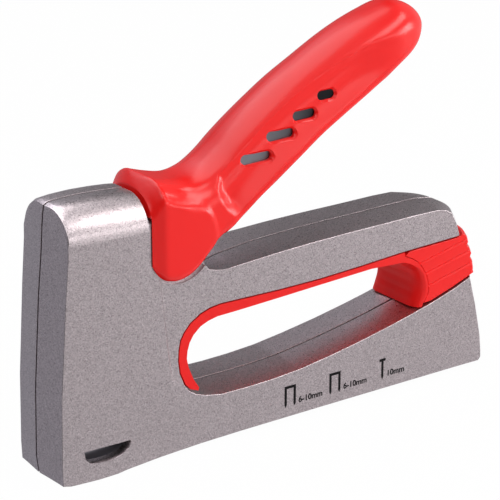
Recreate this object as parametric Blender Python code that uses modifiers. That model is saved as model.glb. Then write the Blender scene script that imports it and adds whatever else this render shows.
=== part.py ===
"""Hand staple gun: cast two-part body, red handle on a steel lever, spring plunger with its driver,
a magazine that swings down for loading, and a red finger-loop trim with a release block behind it.

Sizes are in millimetres, in the tool's own side view: X runs back from the nose, Z up from the rail's
underside, Y across with the left half at -Y. The empty at the end moves all of it to the part's origin.
"""
import math

import bmesh
import bpy
from mathutils import Matrix, Vector

MM = 0.001
CLEAR = 0.3            # running gap between neighbouring pieces

# --- driving dimensions of the body -------------------------------------------------------------
TAIL_X = 174.9         # rearmost point of the rail, on the centre plane
NOSE_DROP = 2.3        # how far the nose reaches under the rail's flat underside
PARTING = 0.15         # each half stops this far from the centre plane
REAR_BULGE = 5.0       # the grip's end and the tail stand out this far at the centre plane
COLUMN_HALF = 14.5     # half width of the column
REAR_HALF = 13.31      # half width of the grip and rail at REAR_HALF_X, narrowing backwards
REAR_HALF_X = 80.0
REAR_TAPER = 0.0093
CHEEK_SEAT = 12.3      # half width of the ears that the handle's cheeks close over

# --- joints -------------------------------------------------------------------------------------
PIVOT = (44.5, 67.7)           # handle hinge
PRESS = math.radians(26)       # handle travel
LIFT_X = 15.2                  # axis of the plunger, main spring and lifting pins
LIFT_Z = PIVOT[1] - (PIVOT[0] - LIFT_X) * math.tan(PRESS / 2)
MAGAZINE_PIVOT = (9.0, 3.0)

# --- lever and handle ---------------------------------------------------------------------------
LEVER_IN = 7.9         # inner face of the lever's side plates
LEVER_OUT = 9.5
LEVER_ANGLE = math.atan2(30.8, 45.5)
WEB_END = 54.0         # pivot to the rear end of the top web, where the side plates start to taper
LEVER_REACH = 76.0     # pivot to the rear end of the side plates
BAR_HALF = 4.5
ARM_HALF = 4.2
CHEEK_IN = 12.6        # inner face of the cover's cheeks
CHANNEL_IN = 9.8       # half width of the cover's channel behind the cheeks
CROWN_IN = 6.0         # half width of the hollow under the cover's rounded top
CHEEK_R = 12.2          # the cheeks' round lower end
CHEEK_GAP = 0.45       # its gap to the pocket in the body

# --- plunger and spring -------------------------------------------------------------------------
CUP_OUT, CUP_IN = 7.4, 6.5
CUP_LOW, CUP_TOP = 30.0, 66.0
SPRING_R, SPRING_WIRE = 5.2, 1.0
SEAT_Z = 79.9
PIN_R = 1.6
DRIVER_X = (6.4, 7.4)
DRIVER_HALF = 5.5

# --- magazine -----------------------------------------------------------------------------------
MAG_FRONT, MAG_REAR = 8.6, 153.0
BASE_HALF, BASE_WALL = 8.6, 1.0
BASE_Z = (0.3, 1.1)
CHANNEL_HALF, CHANNEL_WALL = 7.2, 1.0
CHANNEL_Z = (2.6, 12.5)
CORE_HALF, CORE_WALL = 4.6, 1.0
CORE_Z = (1.4, 10.0)
STRIP_END = 58.4
PUSHER_X = (58.8, 70.8)
ROD_Z, ROD_R = 6.0, 0.9

RED = (0.85, 0.035, 0.025, 1)
CAST = (0.33, 0.29, 0.29, 1)
STEEL = (0.42, 0.42, 0.44, 1)
BRIGHT = (0.62, 0.62, 0.64, 1)
DARK = (0.05, 0.05, 0.055, 1)

# Body outline on the centre plane, clockwise from the nose's underside. Each point is (x, z, how far
# it moves along x at the side face, how far along z, share of the column's round shoulder).
FRONT = [
    (0.7, -1.5, 1.3, -0.3, 0), (0.0, 4.0, 1.8, 0, 0), (0.6, 26.5, 1.8, 0, 0), (2.8, 56.0, 1.8, 0, 0),
    (4.3, 70.3, 1.6, 0, 0), (4.8, 77.0, 1.2, -3.0, 1), (5.2, 81.2, 1.0, -7.0, 1), (5.7, 83.8, 0.7, -9.5, 1),
]
COLUMN_TOP = [
    (7.0, 84.6, 0.4, -10.5, 1), (11.0, 85.0, 0, -11.0, 1), (18.0, 85.2, 0, -11.2, 1),
    (25.0, 85.0, 0, -11.0, 1), (31.0, 84.6, 0, -10.6, 1), (33.2, 84.3, 0, -10.2, 1),
]
EAR = [
    (33.4, 79.0, 0, -6.5, 1), (36.3, 76.3, 0, -1.0, 0), (44.5, 76.8, 0, 0, 0), (50.3, 75.0, 0, 0, 0),
    (53.4, 70.5, 0, 0, 0), (53.6, 64.0, 0, 0, 0), (53.6, 60.3, 0, 0, 0), (55.2, 57.4, 0, 0, 0),
    (57.8, 54.9, 0, 1.8, 0),
]
GRIP_TOP = [
    (61.0, 54.9, 0, 1.3, 0), (66.5, 56.3, 0, 0.2, 0), (80.0, 58.0, 0, -0.6, 0), (95.0, 58.8, 0, -0.7, 0),
    (110.0, 59.2, 0, -0.7, 0), (125.0, 59.4, 0, -0.7, 0), (140.0, 59.8, 0, -0.8, 0), (149.0, 59.8, -0.8, -0.9, 0),
    (155.4, 58.9, -3.4, -0.8, 0), (159.0, 57.1, -4.7, -0.4, 0), (160.5, 54.5, -5.0, -0.1, 0),
    (161.9, 51.5, -5.0, 0, 0), (163.0, 48.3, -5.0, 0, 0),
]
GRIP_UNDER = [
    (157.5, 48.0, 0, 0, 0), (132.0, 47.1, 0, 0, 0), (115.0, 46.0, 0, 0, 0), (98.7, 45.2, 0, 0, 0),
    (82.7, 45.0, 0, 0, 0), (67.1, 45.2, 0, 0, 0), (59.5, 45.3, 0, 0, 0), (55.5, 44.8, 0, 0, 0),
    (51.8, 43.6, 0, 0, 0), (47.9, 41.2, 0, 0, 0), (45.5, 38.6, 0, 0, 0), (44.2, 36.2, 0, 0, 0),
    (43.6, 33.0, 0, 0, 0), (43.4, 29.6, 0, 0, 0), (43.9, 25.4, 0, 0, 0), (45.6, 21.2, 0, 0, 0),
    (47.3, 18.8, 0, 0, 0), (50.0, 17.0, 0, 0, 0), (54.0, 16.1, 0, -0.4, 0),
]
RAIL_TOP = [
    (60.0, 15.4, 0, -0.8, 0), (70.0, 15.4, 0, -0.9, 0), (80.0, 15.7, 0, -0.9, 0), (91.0, 16.5, 0, -0.9, 0),
    (103.0, 18.2, 0, -0.9, 0), (116.0, 20.4, 0, -0.9, 0), (128.0, 22.8, 0, -0.9, 0), (137.0, 24.8, 0, -0.9, 0),
    (146.0, 27.0, 0, -0.9, 0), (156.0, 29.9, 0, -0.9, 0), (168.5, 33.1, -5.0, -1.2, 0),
]
TAIL = [
    (169.8, 27.1, -5.0, 0, 0), (171.5, 21.1, -5.0, 0, 0), (172.8, 15.3, -5.0, 0, 0), (174.1, 9.4, -5.0, 0, 0),
    (174.8, 3.5, -5.0, 0, 0), (TAIL_X, 1.0, -5.0, 0, 0), (173.9, -0.1, -5.0, 0, 0),
]
UNDERSIDE = [
    (160.0, 0, 0, 0, 0), (100.0, 0, 0, 0, 0), (67.0, -0.1, 0, 0, 0), (51.5, -0.3, 0, 0, 0),
    (36.4, -0.9, 0, 0, 0), (25.3, -1.7, 0, 0, 0), (14.5, -NOSE_DROP, 0, 0, 0), (4.0, -NOSE_DROP, 0.6, 0, 0),
]
BODY_OUTLINE = FRONT + COLUMN_TOP + EAR + GRIP_TOP + GRIP_UNDER + RAIL_TOP + TAIL + UNDERSIDE
LEVELS = (0, 0.3, 0.5, 0.68, 0.82, 0.92, 1)

# Red finger-loop trim: the edge that meets the metal, then the edge that faces the fingers.
TRIM_OUTER = [
    (50.9, 18.0), (47.9, 19.2), (46.1, 21.3), (44.3, 25.5), (43.8, 29.7), (44.0, 33.0), (44.6, 36.1),
    (45.9, 38.4), (48.2, 40.9), (52.0, 43.2), (55.7, 44.4), (59.5, 44.9), (67.1, 44.8), (82.7, 44.6),
    (98.7, 44.8), (115.0, 45.6), (134.1, 46.8),
]
LOOP_REAR = [(134.2, 45.4), (137.7, 43.7), (139.9, 42.2), (141.7, 40.2), (143.6, 37.3), (144.6, 34.2),
             (145.0, 31.0), (144.0, 28.6), (142.8, 26.9)]
# Palm face in front of the release block: (x, z) at the centre plane, x at the side face.
PALM_FACE = [(139.3, 25.7, 142.2), (140.2, 28.2, 143.2), (141.2, 31.2, 144.0), (141.6, 34.2, 143.6),
             (140.7, 37.3, 142.6), (138.8, 39.9, 140.4), (136.2, 42.0, 137.2), (133.0, 43.4, 133.6)]
TRIM_INNER = [
    (120.0, 44.0), (98.7, 43.0), (82.7, 42.2), (67.1, 41.5), (58.3, 41.2), (54.9, 40.5), (51.9, 39.3),
    (49.3, 37.1), (47.8, 34.8), (47.0, 32.3), (46.7, 29.7), (47.3, 26.8), (49.1, 22.3), (51.2, 19.0),
]
# Ribbed rear of the release block on the centre plane, from the lip behind the grip's end downwards.
BLOCK_REAR = [
    (163.9, 47.7), (164.5, 48.3), (165.7, 47.9), (166.9, 46.3), (167.3, 44.8), (166.8, 43.8), (168.3, 42.0),
    (168.9, 40.4), (168.3, 39.1), (169.6, 37.3), (170.0, 35.8), (169.3, 34.8), (170.2, 34.4), (169.6, 34.2),
]

# Handle cover sections from the collar to the tip: (x, top, low, half width, top round across, up).
HANDLE = [
    (35.3, 84.9, 59.9, 12.75, 12.75, 9.0), (36.1, 85.9, 59.0, 13.1, 12.9, 9.2), (37.5, 87.2, 57.9, 13.8, 12.4, 8.2),
    (39.0, 87.9, 56.9, 14.5, 10.2, 7.0), (40.2, 87.5, 56.3, 14.7, 9.6, 6.6), (41.8, 87.0, 55.9, 14.7, 9.5, 6.5),
    (44.5, 86.3, 55.5, 14.7, 10.0, 7.0), (48.5, 85.6, 56.1, 14.6, 11.0, 9.0), (52.0, 85.5, 58.2, 14.5, 11.5, 10.0),
    (56.0, 86.5, 61.9, 14.3, 12.0, 11.0), (60.0, 88.4, 65.2, 14.0, 12.0, 12.0),
    (65.0, 92.2, 67.6, 13.6, 12.5, 12.5), (70.0, 96.6, 71.2, 13.3, 12.5, 12.5), (76.0, 101.3, 75.6, 13.1, 12.5, 12.5),
    (83.0, 106.2, 80.2, 13.0, 12.5, 12.5), (91.0, 111.4, 85.6, 12.9, 12.5, 12.5), (100.0, 116.3, 91.7, 12.8, 12.4, 12.4),
    (110.0, 121.6, 97.4, 12.7, 12.3, 12.0), (118.0, 125.2, 101.7, 12.5, 12.0, 11.5), (126.0, 128.0, 106.1, 12.1, 11.5, 10.5),
    (133.0, 129.9, 110.1, 11.2, 10.5, 9.5), (138.3, 129.2, 112.6, 9.7, 9.2, 8.3), (142.3, 127.3, 114.9, 7.6, 7.2, 6.4),
    (145.0, 124.9, 117.6, 5.0, 4.7, 3.9), (146.3, 122.9, 119.9, 2.2, 2.0, 1.6),
]
# Hollow of the cover: the crown under its ridge, the channel that the lever lies in, and the cheeks.
COVER_CROWN = [
    (30.0, 81.5), (44.5, 81.8), (50.0, 81.9), (56.0, 83.6), (62.0, 87.3),
    (70.0, 94.0), (78.0, 100.2), (88.0, 106.7), (100.0, 113.4), (110.0, 118.8), (118.0, 122.2), (124.0, 123.4),
    (127.0, 121.0), (124.0, 112.0), (112.0, 96.0), (94.0, 84.0), (76.0, 70.0), (64.0, 55.0), (30.0, 50.0),
]
COVER_CHANNEL = [
    (30.0, 76.5), (38.0, 77.2), (46.0, 79.8), (52.0, 81.6), (60.0, 84.1), (70.0, 91.2), (86.5, 102.4), (100.0, 110.2),
    (112.0, 115.6), (120.0, 118.4),
    (125.0, 116.0), (124.0, 112.0), (112.0, 96.0), (94.0, 84.0), (76.0, 70.0), (64.0, 55.0), (30.0, 50.0),
]
COVER_CHEEKS = [(30.0, 77.0), (37.5, 77.3), (52.0, 77.4), (56.0, 76.3), (60.0, 74.0), (63.0, 70.0), (63.0, 50.0),
                (30.0, 50.0)]
SLOTS = [(75.4, 88.8, 10.8), (84.7, 94.7, 10.0), (93.8, 99.8, 8.4), (102.4, 104.9, 6.4)]
SLOT_HIGH = 2.9
SLOT_TILT = math.radians(3)

# Screws that clamp the halves: (x, z, how far out the head's underside sits).
SCREWS = [(28.2, 79.0, 9.7), (37.0, 24.0, 11.5), (92.0, 52.4, 11.5), (143.0, 52.6, 11.5), (139.0, 18.6, 11.5)]
SCREW_R, SCREW_HEAD_R, SCREW_BOSS_R = 1.4, 2.8, 2.7
SCREW_HEAD = 1.5       # height of the head
SCREW_END = -8.4       # where the shank ends in the left half
POST_X, POST_HALF = (146.6, 152.4), 5.0
HOOK_X = (155.5, 157.0)
RELEASE_TRAVEL = 3.5
GROOVE_TILT = math.radians(12.4)
BLOCK_GAP = 0.65       # the block's gap to the sloping rail top and grip underside


def new_collection(name):
    collection = bpy.data.collections.new(name)
    bpy.context.scene.collection.children.link(collection)
    return collection


def material(name, colour, roughness, metallic):
    made = bpy.data.materials.get(name)
    if made is None:
        made = bpy.data.materials.new(name)
        made.use_nodes = True
        shader = made.node_tree.nodes["Principled BSDF"]
        shader.inputs["Base Color"].default_value = colour
        shader.inputs["Roughness"].default_value = roughness
        shader.inputs["Metallic"].default_value = metallic
        made.diffuse_color = colour
    return made


def finish(name):
    """The material of each kind of piece."""
    finishes = {
        "cast_metal": (CAST, 0.42, 0.9),
        "red_plastic": (RED, 0.32, 0.0),
        "steel": (STEEL, 0.35, 1.0),
        "bright_steel": (BRIGHT, 0.25, 1.0),
        "black_rubber": (DARK, 0.8, 0.0),
        "dark_steel": (DARK, 0.4, 0.8),
    }
    return material(name, *finishes[name])


def add_object(name, bm, finish_name, origin=(0, 0, 0)):
    """Turns a bmesh in millimetres into a named object whose origin is at the given point."""
    bmesh.ops.translate(bm, vec=-Vector(origin), verts=bm.verts)
    bmesh.ops.scale(bm, vec=(MM, MM, MM), verts=bm.verts)
    bmesh.ops.recalc_face_normals(bm, faces=bm.faces)
    mesh = bpy.data.meshes.new(name)
    bm.to_mesh(mesh)
    bm.free()
    obj = bpy.data.objects.new(name, mesh)
    obj.location = Vector(origin) * MM
    obj.parent = FRAME
    if finish_name is None:
        obj.display_type = "WIRE"
        obj.hide_render = True
        CUTTERS.objects.link(obj)
    else:
        mesh.materials.append(finish(finish_name))
        mesh.shade_smooth()
        mesh.set_sharp_from_angle(angle=math.radians(32))
        PARTS.objects.link(obj)
    return obj


def boolean(obj, tool, operation):
    modifier = obj.modifiers.new(operation.title() + " " + tool.name, "BOOLEAN")
    modifier.operation = operation
    modifier.object = tool
    modifier.solver = "EXACT"


def cut(obj, *tools):
    for tool in tools:
        boolean(obj, tool, "DIFFERENCE")


def join(obj, *tools):
    for tool in tools:
        boolean(obj, tool, "UNION")


def box(x0, x1, y0, y1, z0, z1):
    bm = bmesh.new()
    bmesh.ops.create_cube(bm, size=1)
    bmesh.ops.scale(bm, vec=(x1 - x0, y1 - y0, z1 - z0), verts=bm.verts)
    bmesh.ops.translate(bm, vec=((x0 + x1) / 2, (y0 + y1) / 2, (z0 + z1) / 2), verts=bm.verts)
    return bm


AXIS_TURN = {"x": Matrix.Rotation(math.pi / 2, 4, "Y"), "y": Matrix.Rotation(-math.pi / 2, 4, "X"), "z": Matrix()}


def rod(axis, centre, radius, start, end, sides=20, end_radius=None):
    """A round bar along x, y or z; centre gives its two other coordinates in order."""
    bm = bmesh.new()
    bmesh.ops.create_cone(bm, cap_ends=True, segments=sides, radius1=radius,
                          radius2=radius if end_radius is None else end_radius, depth=end - start)
    bmesh.ops.transform(bm, matrix=AXIS_TURN[axis], verts=bm.verts)
    middle = (start + end) / 2
    place = {"x": (middle, *centre), "y": (centre[0], middle, centre[1]), "z": (*centre, middle)}[axis]
    bmesh.ops.translate(bm, vec=place, verts=bm.verts)
    return bm


def plate(outline, y0, y1):
    """A flat outline in the side view, filled and given its thickness across the tool."""
    curve = bpy.data.curves.new("outline", "CURVE")
    curve.dimensions = "2D"
    curve.fill_mode = "BOTH"
    curve.extrude = (y1 - y0) / 2
    spline = curve.splines.new("POLY")
    spline.points.add(len(outline) - 1)
    for point, (x, z) in zip(spline.points, outline):
        point.co = (x, z, 0, 1)
    spline.use_cyclic_u = True
    guide = bpy.data.objects.new("outline", curve)
    guide.rotation_euler = (math.pi / 2, 0, 0)
    guide.location = (0, (y0 + y1) / 2, 0)
    bpy.context.scene.collection.objects.link(guide)
    bpy.context.view_layer.update()
    evaluated = guide.evaluated_get(bpy.context.evaluated_depsgraph_get())
    mesh = bpy.data.meshes.new_from_object(evaluated)
    bm = bmesh.new()
    bm.from_mesh(mesh)
    bmesh.ops.transform(bm, matrix=guide.matrix_world, verts=bm.verts)
    bmesh.ops.remove_doubles(bm, verts=bm.verts, dist=0.001)
    bpy.data.meshes.remove(mesh)
    bpy.data.objects.remove(guide)
    bpy.data.curves.remove(curve)
    return bm


def turned(name, profile, centre, finish_name, origin=(0, 0, 0), steps=28):
    """A profile of (radius, z) pairs turned about an upright axis, run top to bottom on its outside."""
    mesh = bpy.data.meshes.new(name)
    points = [(radius * MM, 0, z * MM) for radius, z in profile]
    mesh.from_pydata(points, [(i, i + 1) for i in range(len(points) - 1)], [])
    obj = bpy.data.objects.new(name, mesh)
    obj.location = Vector((*centre, 0)) * MM
    screw = obj.modifiers.new("Turn", "SCREW")
    screw.steps = steps
    screw.render_steps = steps
    screw.use_merge_vertices = True
    screw.merge_threshold = 0.00001
    mesh.materials.append(finish(finish_name))
    obj.parent = FRAME
    PARTS.objects.link(obj)
    return obj


def coil(name, centre, radius, wire, start, end, turns, axis, finish_name, per_turn=10, detail=1):
    """A compression spring as a poly curve with a round section."""
    curve = bpy.data.curves.new(name, "CURVE")
    curve.dimensions = "3D"
    curve.bevel_depth = wire * MM
    curve.bevel_resolution = detail
    curve.use_fill_caps = True
    spline = curve.splines.new("POLY")
    count = int(turns * per_turn)
    spline.points.add(count)
    for i, point in enumerate(spline.points):
        angle = 2 * math.pi * i / per_turn
        along = start + wire + (end - start - 2 * wire) * i / count
        across, up = radius * math.cos(angle), radius * math.sin(angle)
        place = {"z": (across, up, along), "x": (along, across, up), "y": (across, along, up)}[axis]
        point.co = (*[value * MM for value in place], 1)
    obj = bpy.data.objects.new(name, curve)
    obj.location = Vector(centre) * MM
    curve.materials.append(finish(finish_name))
    obj.parent = FRAME
    PARTS.objects.link(obj)
    return obj


def smooth(value, low, high):
    t = min(1.0, max(0.0, (value - low) / (high - low)))
    return t * t * (3 - 2 * t)


def crease_x(z):
    """Where the thick column steps down to the rear of the body."""
    return 34.2 + (78.0 - z) * 0.112


def side_half_width(x, z):
    rear = REAR_HALF - REAR_TAPER * (x - REAR_HALF_X)
    bow = max(0.0, (30.0 - x) / 28.3)
    column = COLUMN_HALF - 1.6 * bow * bow
    column = rear + (column - rear) * smooth(z, 2.0, 30.0) if x > 22 else column
    return column + (rear - column) * smooth(x - crease_x(z), -0.2, 1.6 + 9.0 * (1 - smooth(z, 12, 42)))


def shoulder(level):
    """Share of the column's drop at a level: flat near the centre plane, round towards the side."""
    t = max(0.0, (level - 0.3) / 0.7)
    return 1 - max(0.0, 1 - t ** 1.75) ** (1 / 1.75)


def body_half(side):
    """One half of the body as a stack of outlines from the centre plane out to the side face."""
    bm = bmesh.new()
    rings = []
    for level in LEVELS:
        ring = []
        for x, z, dx, dz, rounded in BODY_OUTLINE:
            along = level if dx > 0 else level * level
            fall = shoulder(level) * rounded + level * level * (1 - rounded)
            ring.append(bm.verts.new((x + dx * along, -level * 10, z + dz * fall)))
        rings.append(ring)
    count = len(BODY_OUTLINE)
    for inner, outer in zip(rings, rings[1:]):
        for i in range(count):
            j = (i + 1) % count
            bm.faces.new((inner[i], inner[j], outer[j], outer[i]))
    bm.faces.new(rings[0])
    bm.faces.new(rings[-1][::-1])
    slant = Vector((1, 0, 0.112)).normalized()
    planes = [((x, 0, 0), (1, 0, 0)) for x in (8, 15, 22, 29)]
    planes += [((crease_x(60) + shift, 0, 60), slant) for shift in (-0.2, 0.7, 1.6)]
    planes += [((0, 0, z), (0, 0, 1)) for z in (4, 16, 28)]
    for point, normal in planes:
        everything = bm.verts[:] + bm.edges[:] + bm.faces[:]
        bmesh.ops.bisect_plane(bm, geom=everything, dist=0.001, plane_co=point, plane_no=normal)
    for vert in bm.verts:
        level = -vert.co.y / 10
        width = side_half_width(vert.co.x, vert.co.z)
        vert.co.y = side * (PARTING + level * (width - PARTING))
    bm.normal_update()
    bmesh.ops.triangulate(bm, faces=bm.faces)
    return bm


def shell_cavities(side):
    """Everything that is hollow inside one cast half."""
    y0, y1 = sorted((-side * 2, side * 11.0))
    low, high = sorted((-side * 2, side * 10.6))
    front = [(3.3, -6), (3.6, 10), (5.7, 70), (6.1, 77.6), (31.0, 77.6), (31.0, 60.0), (41.0, 54.0), (40.9, 30.0),
             (44.0, 18.0), (50.0, 13.0), (50.0, -6)]
    crown = [(6.1, 77.0), (6.7, 80.4), (31.0, 80.4), (31.0, 77.0)]
    top = [(6.6, 80.0), (7.4, 82.2), (31.0, 82.2), (31.0, 80.0)]
    rail = [(40.0, -6), (40.0, 12.8), (85.0, 12.8), (100.0, 14.8), (115.0, 17.4), (130.0, 20.4), (145.0, 23.8),
            (157.0, 27.0), (162.8, 27.0), (165.8, 16.0), (166.8, -6)]
    grip = [(58.5, 47.9), (58.5, 51.8), (66.0, 53.4), (80.0, 55.3), (110.0, 56.6), (140.0, 56.4), (152.0, 55.2), (154.5, 50.6),
            (132.0, 49.7), (98.7, 47.9)]
    lever_gap = [(29.0, 55.5), (29.0, 79.0), (34.4, 79.0), (36.0, 92.0), (62.0, 92.0), (62.0, 57.9), (52.0, 57.3),
                 (48.0, 55.5)]
    slot_low, slot_high = sorted((-side * 2, side * 10.0))
    top_low, top_high = sorted((-side * 2, side * 7.5))
    tag = "left" if side < 0 else "right"
    return [
        add_object(tag + "_column_hollow", plate(front, y0, y1), None),
        add_object(tag + "_crown_hollow", plate(crown, slot_low, slot_high), None),
        add_object(tag + "_top_hollow", plate(top, top_low, top_high), None),
        add_object(tag + "_rail_hollow", plate(rail, low, high), None),
        add_object(tag + "_grip_hollow", plate(grip, low, high), None),
        add_object(tag + "_lever_gap", plate(lever_gap, slot_low, slot_high), None),
    ]


def cheek_recess(side):
    """Side pocket that the handle's cheek closes over, swept clear for the whole press."""
    near, far = sorted((side * CHEEK_SEAT, side * 17.0))
    disc = rod("y", PIVOT, CHEEK_R + CHEEK_GAP, near, far, sides=40)
    above = plate([(33.2, PIVOT[1] - 7.5), (33.2, 92.0), (64.0, 92.0), (64.0, 58.0), (56.6, 57.6), (53.1, 57.0),
                   (50.6, 56.9)], near, far)
    tag = "left" if side < 0 else "right"
    return [add_object(tag + "_cheek_disc", disc, None), add_object(tag + "_cheek_above", above, None)]


def shell_ribs(side):
    """Inner bosses and ribs of one half: screw bosses, bumper shelf, channel ribs, post, hinge bosses."""
    inner = side * PARTING
    ribs = [rod("y", (x, z), SCREW_BOSS_R, *sorted((inner, side * (seat + 0.1))), sides=18) for x, z, seat in SCREWS]
    shelf_low, shelf_high = sorted((side * 6.0, side * 11.6))
    ribs.append(box(8.8, 31.6, shelf_low, shelf_high, 19.5, 23.2))
    grip_low, grip_high = sorted((side * 7.5, side * 11.2))
    ribs += [box(x, x + 6, grip_low, grip_high, 9.6, 12.9) for x in (60.0, 112.0)]
    boss_low, boss_high = sorted((side * 8.9, side * 11.8))
    ribs.append(rod("y", MAGAZINE_PIVOT, 2.5, boss_low, boss_high, sides=20))
    post_low, post_high = sorted((inner, side * POST_HALF))
    ribs.append(box(*POST_X, post_low, post_high, 25.0, 50.5))
    return ribs


def make_shell(side):
    name = "left_body_shell" if side < 0 else "right_body_shell"
    tag = "left" if side < 0 else "right"
    shell = add_object(name, body_half(side), "cast_metal")
    cut(shell, *shell_cavities(side), *cheek_recess(side))
    for number, rib in enumerate(shell_ribs(side)):
        join(shell, add_object(f"{tag}_rib_{number}", rib, None))
    holes = []
    for x, z, seat in SCREWS:
        if side < 0:
            holes.append(rod("y", (x, z), SCREW_R + CLEAR, SCREW_END - 0.6, 1.0, sides=16))
        else:
            holes.append(rod("y", (x, z), SCREW_R + CLEAR, -1.0, 20.0, sides=16))
            holes.append(rod("y", (x, z), SCREW_HEAD_R + CLEAR, seat - CLEAR, 20.0, sides=20))
    for number, hole in enumerate(holes):
        cut(shell, add_object(f"{tag}_screw_hole_{number}", hole, None))
    pin_low, pin_high = sorted((side * 8.0, side * 12.0))
    cut(shell, add_object(tag + "_hinge_hole", rod("y", MAGAZINE_PIVOT, 1.5, pin_low, pin_high, sides=16), None))
    pin_low, pin_high = sorted((side * 9.0, side * 13.0))
    cut(shell, add_object(tag + "_pivot_hole", rod("y", PIVOT, 2.5 + CLEAR, pin_low, pin_high, sides=24), None))
    window = [(9.6, 7.9), (24.9, 7.9), (25.3, 7.2), (24.4, 5.6), (21.9, 4.3), (18.2, 3.8), (14.6, 3.7), (11.6, 4.0),
              (10.0, 5.5)]
    wall_low, wall_high = sorted((side * 9.5, side * 17.0))
    cut(shell, add_object(tag + "_window", plate(window, wall_low, wall_high), None))
    slot_low, slot_high = sorted((-side, side * 3.4))
    hook_slot = box(HOOK_X[0] - 0.4, HOOK_X[1] + RELEASE_TRAVEL + 0.4, slot_low, slot_high, 20, 36)
    cut(shell, add_object(tag + "_hook_slot", hook_slot, None))
    return shell


def headed_pin(shank_r, head_r, start, end, head, sides=14):
    """A screw or rivet on the z axis: a shank from start to end, then a wider head of its own height."""
    outline = [(0, start), (shank_r, start), (shank_r, end), (head_r, end), (head_r, end + head), (0, end + head)]
    bm = bmesh.new()
    verts = [bm.verts.new((radius, 0, z)) for radius, z in outline]
    edges = [bm.edges.new(pair) for pair in zip(verts, verts[1:])]
    bmesh.ops.spin(bm, geom=verts + edges, axis=(0, 0, 1), cent=(0, 0, 0), steps=sides, angle=2 * math.pi)
    bmesh.ops.remove_doubles(bm, verts=bm.verts, dist=0.001)
    return bm


def make_body_screws():
    for number, (x, z, seat) in enumerate(SCREWS, 1):
        screw = headed_pin(SCREW_R, SCREW_HEAD_R, SCREW_END, seat, SCREW_HEAD)
        matrix = Matrix.Translation((x, 0, z)) @ AXIS_TURN["y"]
        bmesh.ops.transform(screw, matrix=matrix, verts=screw.verts)
        add_object(f"body_screw_{number}", screw, "steel")


def section(x, top, low, half, across, up, steps=5):
    """One handle section: round upper corners, tighter lower ones; points run round from the top."""
    points = []
    lower = min(4.0, (top - low) * 0.4, half * 0.8)
    for i in range(steps + 1):
        angle = math.pi / 2 * i / steps
        points.append((half - across + across * math.sin(angle), top - up + up * math.cos(angle)))
    for i in range(steps - 1):
        angle = math.pi / 2 * i / (steps - 2)
        points.append((half - lower + lower * math.cos(angle), low + lower - lower * math.sin(angle)))
    right = [(x, y, z) for y, z in points]
    left = [(x, -y, z) for y, z in reversed(points)]
    return right + left


def loft(sections):
    """Closed skin through rings with the same number of points."""
    bm = bmesh.new()
    rings = [[bm.verts.new(point) for point in ring] for ring in sections]
    for first, second in zip(rings, rings[1:]):
        count = len(first)
        for i in range(count):
            j = (i + 1) % count
            bm.faces.new((first[i], first[j], second[j], second[i]))
    bm.faces.new(rings[0])
    bm.faces.new(rings[-1][::-1])
    bm.normal_update()
    bmesh.ops.triangulate(bm, faces=bm.faces)
    return bm


def along_bar(distance, rise):
    """A point on the lever's rear bar: distance from the pivot along it, and rise across it."""
    c, s = math.cos(LEVER_ANGLE), math.sin(LEVER_ANGLE)
    return PIVOT[0] + distance * c - rise * s, PIVOT[1] + distance * s + rise * c


def along_arm(distance, rise):
    """A point on the lever's front arm."""
    c, s = math.cos(PRESS / 2), math.sin(PRESS / 2)
    return PIVOT[0] - distance * c - rise * s, PIVOT[1] - distance * s + rise * c


COVER_SCREWS = ((24.0, 3.4), (44.0, 4.6))     # place along the lever's bar, height of its boss


def make_handle_cover():
    origin = (PIVOT[0], 0, PIVOT[1])
    cover = add_object("handle_cover", loft([section(*row) for row in HANDLE]), "red_plastic", origin)
    tools = [
        add_object("cover_cheek_hollow", plate(COVER_CHEEKS, -CHEEK_IN, CHEEK_IN), None),
        add_object("cover_channel_hollow", plate(COVER_CHANNEL, -CHANNEL_IN, CHANNEL_IN), None),
        add_object("cover_crown_hollow", plate(COVER_CROWN, -CROWN_IN, CROWN_IN), None),
    ]
    for number, (x, z, length) in enumerate(SLOTS):
        half, radius = length / 2 - SLOT_HIGH / 2, SLOT_HIGH / 2
        ends = []
        for centre, start in ((half, -90), (-half, 90)):
            for step in range(7):
                angle = math.radians(start + 30 * step)
                ends.append((centre + radius * math.cos(angle), radius * math.sin(angle)))
        c, s = math.cos(SLOT_TILT), math.sin(SLOT_TILT)
        outline = [(x + u * c - v * s, z + u * s + v * c) for u, v in ends]
        tools.append(add_object(f"cover_slot_{number}", plate(outline, -20, 20), None))
    cut(cover, *tools)
    for number, (distance, height) in enumerate(COVER_SCREWS):
        post = rod("z", (0, 0), 3.0, 0, height, sides=16)
        place_on_bar(post, distance, BAR_HALF + CLEAR)
        join(cover, add_object(f"cover_boss_{number}", post, None))
        hole = rod("z", (0, 0), 1.2 + CLEAR, -2, height - 0.6, sides=14)
        place_on_bar(hole, distance, BAR_HALF + CLEAR)
        cut(cover, add_object(f"cover_boss_hole_{number}", hole, None))
    return cover


def place_on_bar(bm, distance, rise):
    """Moves a shape built on the z axis to stand on the lever's rear bar."""
    x, z = along_bar(distance, rise)
    matrix = Matrix.Translation((x, 0, z)) @ Matrix.Rotation(-LEVER_ANGLE, 4, "Y")
    bmesh.ops.transform(bm, matrix=matrix, verts=bm.verts)


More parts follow.
